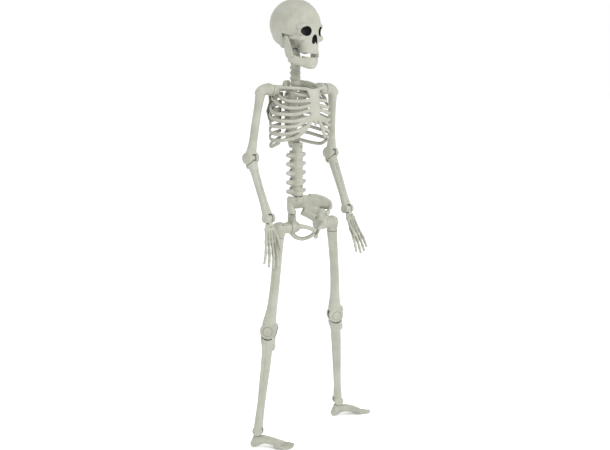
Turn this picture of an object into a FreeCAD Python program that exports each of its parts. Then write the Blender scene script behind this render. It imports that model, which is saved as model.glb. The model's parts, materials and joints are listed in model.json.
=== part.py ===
import FreeCAD, Part

import math
import os
import re

# A poseable skeleton figure, moulded in hollow plastic halves. +Z is up, the figure faces -Y and its
# right side is at -X. Every bone is modelled in its own frame, with its upper joint at the origin and
# its length down -Z, and is then placed by its joints, from the feet up.

Vector = FreeCAD.Vector
Rotation = FreeCAD.Rotation
Placement = FreeCAD.Placement

SIZES = {
    # skull and jaw
    "skull_width": 93.0,
    "skull_depth": 117.0,
    "skull_height": 104.0,
    "skull_wall": 3.0,
    "skull_rise": 49.0,        # from the head pivot up to the middle of the cranium
    "face_width": 56.0,
    "face_depth": 36.0,
    "face_drop": 63.0,         # from the middle of the cranium down to the upper teeth
    "face_reach": 57.0,        # from the middle of the cranium forward to the upper teeth
    "eye_radius": 11.0,
    "eye_spacing": 46.0,
    "jaw_width": 84.0,
    "jaw_plate": 4.5,
    "jaw_reach": 42.0,         # from the jaw hinge forward to the chin
    "jaw_drop": 56.0,          # from the jaw hinge down to the chin
    "jaw_pin_radius": 1.5,
    "loop_radius": 3.5,
    "loop_wall": 2.6,
    # neck
    "neck_length": 78.0,
    "neck_radius": 11.0,
    "neck_offset": 5.0,
    "neck_peg_radius": 6.0,
    "neck_peg_length": 9.0,
    # rib cage and spine
    "waist_to_shoulder": 222.0,
    "spine_radius": 12.5,
    "process_span": 58.0,
    "lumbar_length": 112.0,
    "lumbar_pitch": 19.0,
    "lumbar_first": 9.0,       # from the waist up to the middle of the lowest vertebra
    "low_screw": 20.0,         # from the waist up to each screw that holds the spine's halves
    "high_screw": 104.0,
    "rib_width": 174.0,
    "rib_depth": 92.0,
    "rib_set_forward": 10.0,   # the middle of the rib cage stands this far before the spine
    "rib_middle_drop": 62.0,   # from the shoulder axis down to the widest rib
    "rib_seam_forward": 15.0,  # the seam of its two halves
    "rib_height": 176.0,
    "rib_wall": 5.0,
    "rib_band": 6.5,
    "rib_pitch": 15.5,
    "rib_tilt": 14.0,
    "sternum_width": 21.0,
    "sternum_length": 84.0,
    "clavicle_radius": 4.2,
    "shoulder_span": 164.0,    # between the outer faces of the two shoulder bosses
    "shoulder_boss_radius": 12.0,
    "shoulder_boss_length": 16.0,
    "shoulder_axle_radius": 3.0,
    # pelvis
    "hip_to_waist": 60.0,
    "spine_set_back": 26.0,    # the spine stands this far behind the hip axis
    "hip_span": 108.0,         # between the outer faces of the two hip bosses
    "hip_boss_radius": 13.0,
    "hip_boss_length": 18.0,
    "hip_axle_radius": 4.0,
    "wing_height": 60.0,
    "wing_width": 66.0,
    "wing_plate": 8.0,
    "pelvis_ring_radius": 27.0,
    "pelvis_ring_bar": 5.5,
    "waist_pin_radius": 6.0,
    "waist_pin_length": 30.0,
    # arms
    "arm_head_reach": 26.0,    # from the shoulder boss out to the arm's shaft
    "arm_head_radius": 11.0,
    "upper_arm_length": 138.0,
    "upper_arm_out": 14.0,
    "upper_arm_radius": 8.6,
    "elbow_radius": 13.0,
    "elbow_width": 27.0,
    "forearm_length": 129.0,
    "forearm_in": 1.0,
    "forearm_radius": 8.4,
    "wrist_radius": 10.0,
    "wrist_width": 23.0,
    "palm_length": 40.0,
    "palm_width": 32.0,
    "palm_thickness": 8.0,
    "finger_length": 55.0,
    "finger_radius": 3.0,
    # legs
    "hip_neck_radius": 11.5,
    "hip_neck_reach": 26.0,    # from the hip boss out to the thigh's axis
    "hip_corner_radius": 14.5,
    "thigh_peg_radius": 6.5,
    "thigh_peg_length": 24.0,
    "thigh_collar": 19.0,      # from the corner of the hip neck down to the thigh's top face
    "thigh_length": 212.0,
    "thigh_radius": 10.0,
    "knee_radius": 17.0,
    "knee_width": 23.0,
    "shin_length": 205.0,
    "shin_radius": 11.5,
    "ankle_radius": 10.5,
    "ankle_width": 24.0,
    "ankle_height": 34.0,
    "foot_length": 88.0,
    "foot_width": 34.0,
    "heel_length": 16.0,       # from the ankle back to the heel's end
    "toe_height": 10.0,
    # what every hinge shares
    "tongue_width": 9.0,
    "slot_gap": 0.4,
    "saddle_gap": 0.6,
    "pin_radius": 2.6,
    "knee_pin_radius": 3.2,
    "pin_cover": 0.8,          # the skin of the cheeks over each end of a pin
    "running_gap": 0.06,
    "bone_wall": 2.6,
    "screw_radius": 1.6,
    "face_gap": 0.4,
    # the stance, in degrees
    "leg_spread": 8.6,
    "right_leg_back": 0.5,
    "left_leg_back": 5.0,
    "right_leg_turn": 32.0,
    "left_leg_turn": 62.0,
    "arm_back": 7.1,
    "forearm_forward": 22.4,
    "right_hand_forward": 6.0,
    "left_hand_forward": 26.0,
    "jaw_open": 12.0,
}

VERTEBRAE = range(5)
NECK_DISCS = 7
RIBS = 7
JAW_HINGE_FORWARD = 11     # from the head pivot
JAW_HINGE_RISE = 18
SKULL_SET_BACK = 2         # the cranium's middle stands this far behind the head pivot

doc = FreeCAD.newDocument("skeleton_figure")
sheet = doc.addObject("Spreadsheet::Sheet", "Sizes")
for row, (alias, number) in enumerate(SIZES.items(), start=1):
    sheet.set("A%d" % row, alias)
    sheet.set("B%d" % row, str(number))
    sheet.setAlias("B%d" % row, alias)
doc.recompute()


def size(alias):
    """A driving size, read back from the sheet."""
    return float(getattr(sheet, alias))


def cells(text):
    """An expression in plain size names, with each name turned into its cell of the sheet."""
    return re.sub(r"[a-z][a-z_]+", lambda m: ("Sizes." if m[0] in SIZES else "") + m[0], text)


ALONG = {
    "x": Rotation(Vector(0, 1, 0), 90),
    "y": Rotation(Vector(1, 0, 0), -90),
    "z": Rotation(),
}


def solid(kind, place, turn=None, **sizes):
    """A Part primitive whose sizes and place are bound to the sheet."""
    piece = doc.addObject("Part::" + kind, kind)
    if turn is not None:
        piece.Placement = Placement(Vector(), turn)
    for prop, text in sizes.items():
        piece.setExpression(prop, cells(text))
    for axis, text in zip("xyz", place):
        piece.setExpression("Placement.Base." + axis, cells(text))
    return piece


def box(place, x, y, z):
    """A box centred on its place."""
    corner = ["%s-(%s)/2" % (p, s) for p, s in zip(place, (x, y, z))]
    return solid("Box", corner, Length=x, Width=y, Height=z)


def rod(place, axis, radius, length):
    """A cylinder centred on its place, along one axis."""
    base = list(place)
    n = "xyz".index(axis)
    base[n] = "%s-(%s)/2" % (base[n], length)
    return solid("Cylinder", base, ALONG[axis], Radius=radius, Height=length)


def ball(place, radius):
    return solid("Sphere", place, Radius=radius)


def egg(place, width, depth, height):
    """An ellipsoid centred on its place, with whole widths given."""
    radii = ["(%s)/2" % whole_width for whole_width in (height, width, depth)]
    return solid("Ellipsoid", place, Radius1=radii[0], Radius2=radii[1], Radius3=radii[2])


def ring(place, radius, bar, turn):
    return solid("Torus", place, turn, Radius1=radius, Radius2=bar)


def oval_plate(width, depth, height):
    """A flat plate with an oval outline, which stands on its own XY plane."""
    outline = doc.addObject("Part::Ellipse", "Oval")
    outline.setExpression("MajorRadius", cells("(%s)/2" % width))
    outline.setExpression("MinorRadius", cells("(%s)/2" % depth))
    plate = doc.addObject("Part::Extrusion", "OvalPlate")
    plate.Base = outline
    plate.DirMode = "Custom"
    plate.Dir = Vector(0, 0, 1)
    plate.Solid = True
    plate.setExpression("LengthFwd", cells(height))
    return plate


def fuse(*pieces):
    joined = doc.addObject("Part::MultiFuse", "Fuse")
    joined.Shapes = list(pieces)
    return joined


def cut(base, *tools):
    less = doc.addObject("Part::Cut", "Cut")
    less.Base = base
    less.Tool = tools[0] if len(tools) == 1 else fuse(*tools)
    return less


def common(base, tool):
    shared = doc.addObject("Part::Common", "Common")
    shared.Base = base
    shared.Tool = tool
    return shared


def between(start, end, radius_start, radius_end):
    """A tapered bar from one point to another of a bone's own frame, whose ends are numbers."""
    a, b = Vector(*start), Vector(*end)
    bar = doc.addObject("Part::Cone", "Bar")
    bar.Radius1, bar.Radius2, bar.Height = radius_start, radius_end, (b - a).Length
    if abs(radius_start - radius_end) < 1e-6:
        bar.Radius2 = radius_end * 0.999
    bar.Placement = Placement(a, Rotation(Vector(0, 0, 1), b - a))
    return bar


nodes = {}


def carry(piece, place):
    """Moves a piece, with its own place in its frame, to where that frame stands."""
    piece.recompute()
    for axis in "xyz":
        piece.setExpression("Placement.Base." + axis, None)
    piece.Placement = place.multiply(piece.Placement)
    return piece


def node(label, piece, place):
    """Names a finished sub-part and carries it from its bone's own frame to where it belongs."""
    nodes[label] = carry(piece, place)
    piece.Label = label


HUGE = "1000"


def halves(label, whole, place, plane="0"):
    """Splits a moulding into its front and back halves, which meet at one plane across Y."""
    front = common(whole, box(("0", "%s-%s/2" % (plane, HUGE), "0"), HUGE, HUGE, HUGE))
    back = common(whole, box(("0", "%s+%s/2" % (plane, HUGE), "0"), HUGE, HUGE, HUGE))
    node(label + "_front", front, place)
    node(label + "_back", back, place)


def fork(side_x, down, radius, width, pin="pin_radius"):
    """The cheeks of a hinge at a bone's lower end, and the slot and pin hole that are cut in them."""
    place = (side_x, "0", "-(%s)" % down)
    cheeks = rod(place, "x", radius, width)
    slot_top = "(%s)*0.72+slot_gap" % radius
    slot_height = "(%s)*1.9" % radius
    slot = box((side_x, "0", "-(%s)+%s-(%s)/2" % (down, slot_top, slot_height)),
               "tongue_width+2*slot_gap", "(%s)*3" % radius, slot_height)
    hole = rod(place, "x", pin, "(%s)-2*pin_cover" % width)
    return cheeks, slot, hole


def tongue(radius, reach, pin="pin_radius"):
    """The round tongue at a bone's upper end, which turns on the pin between the cheeks."""
    disc = rod(("0", "0", "0"), "x", "(%s)*0.72" % radius, "tongue_width")
    stem = box(("0", "0", "-(%s)/2" % reach), "tongue_width", "(%s)*0.95" % radius, reach)
    hole = rod(("0", "0", "0"), "x", pin + "+running_gap", "tongue_width*1.5")
    return disc, stem, hole


def hinge_pin(width, radius="pin_radius"):
    """The pin of a hinge, hidden between the skins of its two cheeks."""
    return rod(("0", "0", "0"), "x", radius, width + "-2*pin_cover-face_gap")


# ---------------------------------------------------------------------------------------------------
# Where the joints are, from the feet up
# ---------------------------------------------------------------------------------------------------

def about(axis, degrees):
    return Rotation(Vector(*axis), degrees)


SIDES = {"right": -1, "left": 1}
leg_length = size("thigh_length") + size("shin_length")
leg_place = {}
for side, sign in SIDES.items():
    swung = about((1, 0, 0), size(side + "_leg_back"))
    spread = about((0, 1, 0), -sign * size("leg_spread"))
    leg_place[side] = swung.multiply(spread)
drops = {side: -turn.multVec(Vector(0, 0, -leg_length)).z for side, turn in leg_place.items()}
hip_height = size("ankle_height") + max(drops.values())
hip_y = 0.0
corner_x = size("hip_span") / 2 + size("face_gap") + size("hip_neck_reach")
waist = Vector(0, hip_y + size("spine_set_back"), hip_height + size("hip_to_waist"))
shoulder_height = waist.z + size("waist_to_shoulder")
neck_base = Vector(0, waist.y + size("neck_offset"), shoulder_height + 8)
head_pivot = neck_base + Vector(0, 0, size("neck_length"))
arm_x = size("shoulder_span") / 2 + size("face_gap") + size("arm_head_reach")

joints = {}


def joint(name, point, axis):
    joints[name] = (Vector(point), Vector(axis))


# ---------------------------------------------------------------------------------------------------
# Head and neck
# ---------------------------------------------------------------------------------------------------

def build_head():
    place = Placement(head_pivot, Rotation())
    set_back = "%d" % SKULL_SET_BACK
    middle = ("0", set_back, "skull_rise")
    cranium = egg(middle, "skull_width", "skull_depth", "skull_height")
    face_y = set_back + "-face_reach+face_depth/2"
    face = box(("0", face_y, "skull_rise-face_drop+26"), "face_width", "face_depth", "52")
    brow = box(("0", face_y + "+6", "skull_rise-8"), "face_width+20", "face_depth-6", "34")
    base = rod(("0", "0", "6"), "z", "17", "12")
    whole = fuse(cranium, face, brow, base)
    hollow = egg(middle, "skull_width-2*skull_wall", "skull_depth-2*skull_wall",
                 "skull_height-2*skull_wall")
    keep_base = common(hollow, box(("0", "0", "skull_rise+8"), HUGE, HUGE, "2*skull_rise-16"))
    eyes = [ball(("%d*eye_spacing/2" % sign, set_back + "-face_reach+2", "skull_rise-16"), "eye_radius")
            for sign in (-1, 1)]
    nose = solid("Cone", ("0", set_back + "-face_reach+6", "skull_rise-40"), Radius1="7", Radius2="2.5",
                 Height="15")
    socket = rod(("0", "0", "0"), "z", "neck_peg_radius+running_gap", "2*(neck_peg_length+0.5)")
    clear_of_teeth = box(("0", set_back + "-face_reach", "skull_rise-face_drop-1"), HUGE, "12", "4")
    neck_room = rod(("0", "0", "-10"), "z", "neck_radius+3", "20")
    hinge_y = "%d" % -JAW_HINGE_FORWARD
    hinge_z = "%d" % JAW_HINGE_RISE
    jaw_bosses = rod(("0", hinge_y, hinge_z), "x", "5", "jaw_width-2*jaw_plate-2*face_gap")
    holes = rod(("0", hinge_y, hinge_z), "x", "jaw_pin_radius", "jaw_width*1.2")
    jaw_rooms = [rod(("%d*(jaw_width/2-jaw_plate-face_gap+6)" % sign, hinge_y, hinge_z), "x", "11", "12")
                 for sign in (-1, 1)]
    loop_hole = box(("0", set_back, "skull_rise+skull_height/2-1"), "4", "4", "6")
    skull = cut(fuse(whole, jaw_bosses), keep_base, *eyes, nose, socket, neck_room, *jaw_rooms,
                clear_of_teeth, holes, loop_hole)
    halves("skull", skull, place, "0")
    top = "skull_rise+skull_height/2"
    stem = box(("0", set_back, top + "-1"), "3.6", "3.6", "5.6")
    eye = rod(("0", set_back, top + "+loop_radius+loop_wall"), "y", "loop_radius+loop_wall", "3.6")
    bore = rod(("0", set_back, top + "+loop_radius+loop_wall"), "y", "loop_radius", "8")
    node("hanging_loop", cut(fuse(stem, eye), bore), place)
    joint("head_turn", head_pivot, (0, 0, 1))


def build_jaw():
    hinge = head_pivot + Vector(0, -JAW_HINGE_FORWARD, JAW_HINGE_RISE)
    place = Placement(hinge, about((1, 0, 0), size("jaw_open")))
    arms = [box(("%d*(jaw_width-jaw_plate)/2" % sign, "-2", "-15"), "jaw_plate", "15", "38")
            for sign in (-1, 1)]
    chin_height = 6 - size("jaw_drop") + 12
    sides = [between((sign * (size("jaw_width") - size("jaw_plate")) / 2, -3, -33),
                     (sign * 12, -size("jaw_reach"), chin_height - 3), 4.6, 5.2) for sign in (-1, 1)]
    chin = box(("0", "-jaw_reach", "6-jaw_drop+12"), "40", "12", "22")
    joined = fuse(*arms, *sides, chin)
    bore = rod(("0", "0", "0"), "x", "jaw_pin_radius+running_gap", "jaw_width*1.2")
    node("jaw", cut(joined, bore), place)
    pins = fuse(*[rod(("%d*(jaw_width/2-jaw_plate)" % sign, "0", "0"), "x", "jaw_pin_radius", "2*jaw_plate")
                  for sign in (-1, 1)])
    node("jaw_pins", pins, Placement(hinge, Rotation()))
    joint("jaw_open", hinge, (1, 0, 0))


def build_neck():
    place = Placement(neck_base, Rotation())
    pitch = "neck_length/%d" % NECK_DISCS
    discs = [rod(("0", "0", "%s*%g" % (pitch, n + 0.5)), "z", "neck_radius", pitch + "-2")
             for n in range(NECK_DISCS)]
    core = rod(("0", "0", "(neck_length-face_gap)/2"), "z", "neck_radius-1.5", "neck_length-face_gap")
    peg = rod(("0", "0", "neck_length"), "z", "neck_peg_radius", "2*neck_peg_length")
    node("neck", fuse(*discs, core, peg), place)


build_head()
build_jaw()
build_neck()


# ---------------------------------------------------------------------------------------------------
# Spine and rib cage, in the frame of the waist
# ---------------------------------------------------------------------------------------------------

def build_spine():
    place = Placement(waist, Rotation())
    column = rod(("0", "0", "(lumbar_length+face_gap)/2"), "z", "spine_radius-1.5", "lumbar_length-face_gap")
    levels = ["lumbar_pitch*%g+lumbar_first" % n for n in VERTEBRAE]
    discs = [rod(("0", "0", level), "z", "spine_radius", "lumbar_pitch*0.6") for level in levels]
    processes = [box(("0", "3", level), "process_span", "7", "7") for level in levels]
    socket = rod(("0", "0", "0"), "z", "waist_pin_radius+running_gap", "waist_pin_length+1")
    heights = ("low_screw", "high_screw")
    screw_holes = [rod(("0", "0", height), "y", "screw_radius", "4*spine_radius") for height in heights]
    whole = cut(fuse(column, *discs, *processes), socket, *screw_holes)
    halves("spine", whole, place)
    screws = [rod(("0", "0", height), "y", "screw_radius", "2*spine_radius-3") for height in heights]
    node("spine_screws", fuse(*screws), place)


def build_rib_cage():
    """Ribs are bands of one egg-shaped wall, each lower at the front than at the back. The front half
    carries the breastbone and the collar bones, the back half the spine, the blades and the bosses."""
    place = Placement(waist, Rotation())
    shoulder = "waist_to_shoulder"
    seam = "-rib_seam_forward"
    tilt = about((1, 0, 0), size("rib_tilt"))
    centre = Vector(0, -size("rib_set_forward"), size("waist_to_shoulder") - size("rib_middle_drop"))
    halves_of_ribs = {"front": [], "back": []}
    for n in range(RIBS):
        rise = size("rib_middle_drop") - 4 - size("rib_pitch") * n
        share = math.sqrt(1 - (2 * rise / size("rib_height")) ** 2)
        for half, way in (("front", -1), ("back", 1)):
            outer = oval_plate("rib_width*%.4f" % share, "rib_depth*%.4f" % share, "rib_band")
            inner = oval_plate("rib_width*%.4f-2*rib_wall" % share, "rib_depth*%.4f-2*rib_wall" % share,
                               "rib_band*3")
            inner.Placement = Placement(Vector(0, 0, -size("rib_band")), Rotation())
            band = cut(outer, inner)
            band.Placement = Placement(centre + tilt.multVec(Vector(0, 0, rise - size("rib_band") / 2)), tilt)
            side_box = box(("0", seam + "+%d" % (60 * way), "waist_to_shoulder-60"), "300", "120", "300")
            band = common(band, side_box)
            if half == "front" and n > 4:
                band = cut(band, box(("0", seam + "-60", "waist_to_shoulder-60"), "%d" % (36 + 24 * (n - 5)),
                                     "120", "300"))
            halves_of_ribs[half].append(band)
    # the sloping margin that ties the lowest ribs to the breastbone
    margins = []
    low = size("rib_middle_drop") - 4 - size("rib_pitch") * (RIBS - 1)
    share = math.sqrt(1 - (2 * low / size("rib_height")) ** 2)
    for sign in (-1, 1):
        reach = 0.42
        foot_of_margin = centre + tilt.multVec(Vector(
            sign * reach * share * size("rib_width") / 2,
            2 - math.sqrt(1 - reach ** 2) * share * size("rib_depth") / 2, low))
        head_of_margin = Vector(sign * 6, centre.y - size("rib_depth") / 2 + 5,
                                size("waist_to_shoulder") + 3 - size("sternum_length"))
        margins.append(between(head_of_margin, foot_of_margin, size("clavicle_radius"),
                               size("rib_band") * 0.6))

    front_y = "-rib_set_forward-rib_depth/2"
    sternum = box(("0", front_y + "+6", "waist_to_shoulder-2-sternum_length/2"), "sternum_width", "9",
                  "sternum_length")
    breast = box(("0", front_y + "+14", "waist_to_shoulder-2"), "sternum_width", "18", "9")
    collars = [rod(("%d*shoulder_span/4" % sign, front_y + "+17", shoulder + "+1"), "x", "clavicle_radius",
                   "shoulder_span/2-2") for sign in (-1, 1)]
    front_ends = [box(("%d*(shoulder_span/2-7)" % sign, seam + "-14", shoulder + "+1"), "12", "28", "9")
                  for sign in (-1, 1)]
    front = fuse(*halves_of_ribs["front"], sternum, breast, *margins, *collars, *front_ends)
    node("rib_cage_front", front, place)

    column = rod(("0", "14", "(waist_to_shoulder+8+lumbar_length)/2"), "z", "spine_radius-1",
                 "waist_to_shoulder+8-lumbar_length")
    keel = box(("0", "26", "waist_to_shoulder-52"), "10", "24", "104")
    blades = [box(("%d*(shoulder_span/2-17)" % sign, "20", shoulder + "-22"), "30", "5", "60")
              for sign in (-1, 1)]
    yoke = box(("0", "14", shoulder + "+1"), "shoulder_span-10", "9", "9")
    arms = [box(("%d*(shoulder_span/2-8)" % sign, "6", shoulder + "+2"), "12", "24", "9")
            for sign in (-1, 1)]
    bosses = [rod(("%d*(shoulder_span-shoulder_boss_length)/2" % sign, "-2", shoulder), "x",
                  "shoulder_boss_radius", "shoulder_boss_length") for sign in (-1, 1)]
    bores = [rod(("%d*shoulder_span/2" % sign, "-2", shoulder), "x", "shoulder_axle_radius", "36")
             for sign in (-1, 1)]
    back = cut(fuse(*halves_of_ribs["back"], column, keel, *blades, yoke, *arms, *bosses), *bores)
    node("rib_cage_back", back, place)


build_spine()
build_rib_cage()


# ---------------------------------------------------------------------------------------------------
# Pelvis, in the frame of the hip axis
# ---------------------------------------------------------------------------------------------------

def build_pelvis():
    place = Placement(Vector(0, hip_y, hip_height), Rotation())
    wings = []
    for sign in (-1, 1):
        wing = oval_plate("wing_width", "wing_height", "wing_plate")
        facing = about((0, 0, 1), -sign * 28).multiply(about((1, 0, 0), 90 - 14))
        centre = Vector(sign * size("wing_width") * 0.5, size("wing_plate") + 3, size("wing_height") * 0.46)
        wing.Placement = Placement(centre, facing)
        wings.append(wing)
    sacrum = box(("0", "spine_set_back-10", "hip_to_waist/2+2"), "36", "18", "hip_to_waist-4-face_gap*2")
    top = rod(("0", "spine_set_back", "hip_to_waist-face_gap/2-9"), "z", "spine_radius", "18-face_gap")
    bosses = [rod(("%d*(hip_span-hip_boss_length)/2" % sign, "0", "0"), "x", "hip_boss_radius",
                  "hip_boss_length") for sign in (-1, 1)]
    hoop = ring(("0", "2", "-2"), "pelvis_ring_radius+8", "pelvis_ring_bar", about((1, 0, 0), 62))
    arch = ring(("0", "4", "-12"), "pelvis_ring_radius-2", "pelvis_ring_bar-1", about((1, 0, 0), 90))
    window = rod(("0", "0", "2"), "y", "pelvis_ring_radius-9", "120")
    bores = [rod(("%d*hip_span/2" % sign, "0", "0"), "x", "hip_axle_radius", "2*hip_boss_length-6")
             for sign in (-1, 1)]
    peg_hole = rod(("0", "spine_set_back", "hip_to_waist"), "z", "waist_pin_radius", "waist_pin_length")
    whole = cut(fuse(*wings, sacrum, top, *bosses, hoop, arch), window, *bores, peg_hole)
    halves("pelvis", whole, place)
    pin_place = Placement(waist, Rotation())
    node("waist_pin", rod(("0", "0", "0"), "z", "waist_pin_radius", "waist_pin_length"), pin_place)
    joint("waist_turn", waist, (0, 0, 1))


build_pelvis()


# ---------------------------------------------------------------------------------------------------
# Arms
# ---------------------------------------------------------------------------------------------------

# each finger's share of the longest, and how far it fans inwards, from the index finger to the little one
FINGERS = ((0.92, 2), (1.0, 0), (0.93, -3), (0.78, -7))


def build_arm(side, sign):
    shoulder = Vector(sign * arm_x, waist.y - 2, shoulder_height)
    swing = about((1, 0, 0), size("arm_back"))
    place = Placement(shoulder, swing)
    out = "%d*upper_arm_out" % sign
    reach = "arm_head_reach+arm_head_radius*0.7"
    head = rod(("%d*(arm_head_radius*0.7-arm_head_reach)/2" % sign, "0", "0"), "x", "arm_head_radius", reach)
    elbow = Vector(sign * size("upper_arm_out"), 0, -size("upper_arm_length"))
    shaft = between((0, 0, 0), elbow, size("upper_arm_radius") + 1, size("upper_arm_radius"))
    wall = size("bone_wall")
    inner = size("upper_arm_radius") - wall
    hollow = between(elbow * 0.16, elbow * 0.84, inner, inner)
    cheeks, slot, hole = fork(out, "upper_arm_length", "elbow_radius", "elbow_width")
    axle_hole = rod(("%d*(-arm_head_reach)" % sign, "0", "0"), "x", "shoulder_axle_radius+running_gap", "38")
    halves(side + "_upper_arm", cut(fuse(head, shaft, cheeks), hollow, slot, hole, axle_hole), place)
    axle_place = Placement(Vector(sign * size("shoulder_span") / 2, shoulder.y, shoulder.z), Rotation())
    axle = rod(("%d*-4" % sign, "0", "0"), "x", "shoulder_axle_radius", "44")
    node(side + "_shoulder_axle", axle, axle_place)
    joint(side + "_shoulder_swing", shoulder, (-1, 0, 0))
    elbow_at = place.multVec(elbow)
    node(side + "_elbow_pin", hinge_pin("elbow_width"), Placement(elbow_at, swing))
    joint(side + "_elbow_bend", elbow_at, (-1, 0, 0))

    place = Placement(elbow_at, about((1, 0, 0), -size("forearm_forward")))
    into = "%d*-forearm_in" % sign
    wrist = Vector(-sign * size("forearm_in"), 0, -size("forearm_length"))
    top = wrist * (1.1 * size("elbow_radius") / wrist.Length)
    shaft = between(top * 0.6, wrist, size("forearm_radius") + 2, size("forearm_radius") - 1)
    inner = size("forearm_radius") - wall
    hollow = between(wrist * 0.25, wrist * 0.84, inner, inner)
    saddle = rod(("0", "0", "0"), "x", "elbow_radius+saddle_gap", "4*elbow_width")
    disc, stem, pin_hole = tongue("elbow_radius", "elbow_radius*1.8")
    cheeks, slot, hole = fork(into, "forearm_length", "wrist_radius", "wrist_width")
    bone = fuse(cut(fuse(shaft, cheeks), hollow, slot, hole, saddle), disc, stem)
    halves(side + "_forearm", cut(bone, pin_hole), place)
    wrist_at = place.multVec(wrist)
    node(side + "_wrist_pin", hinge_pin("wrist_width"), Placement(wrist_at, place.Rotation))
    joint(side + "_wrist_bend", wrist_at, (-1, 0, 0))

    place = Placement(wrist_at, about((1, 0, 0), -size(side + "_hand_forward")))
    disc, stem, pin_hole = tongue("wrist_radius", "wrist_radius*1.6")
    palm = box(("0", "0", "-wrist_radius*1.15-palm_length/2"), "palm_width", "palm_thickness", "palm_length")
    saddle = rod(("0", "0", "0"), "x", "wrist_radius+saddle_gap", "4*wrist_width")
    knuckle = -size("wrist_radius") * 1.15 - size("palm_length") + 4
    inward = -sign
    fingers = []
    for n, (share, fan) in enumerate(FINGERS):
        x = inward * size("palm_width") * (0.375 - 0.25 * n)
        reach = size("finger_length") * share
        tip = Vector(x + inward * reach * math.sin(math.radians(fan)), 0, knuckle - reach)
        fingers.append(between((x, 0, knuckle), tip, size("finger_radius"), size("finger_radius") * 0.75))
    thumb_root = Vector(inward * (size("palm_width") / 2 - 3), 0, knuckle + size("palm_length") * 0.5)
    thumb_tip = thumb_root + Vector(inward * 3, -10, -size("finger_length") * 0.62)
    thumb = between(thumb_root, thumb_tip, size("finger_radius") * 1.1, size("finger_radius") * 0.8)
    hand = fuse(cut(fuse(palm, thumb, *fingers), saddle), disc, stem)
    node(side + "_hand", cut(hand, pin_hole), place)


for side, sign in SIDES.items():
    build_arm(side, sign)


# ---------------------------------------------------------------------------------------------------
# Legs
# ---------------------------------------------------------------------------------------------------

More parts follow.
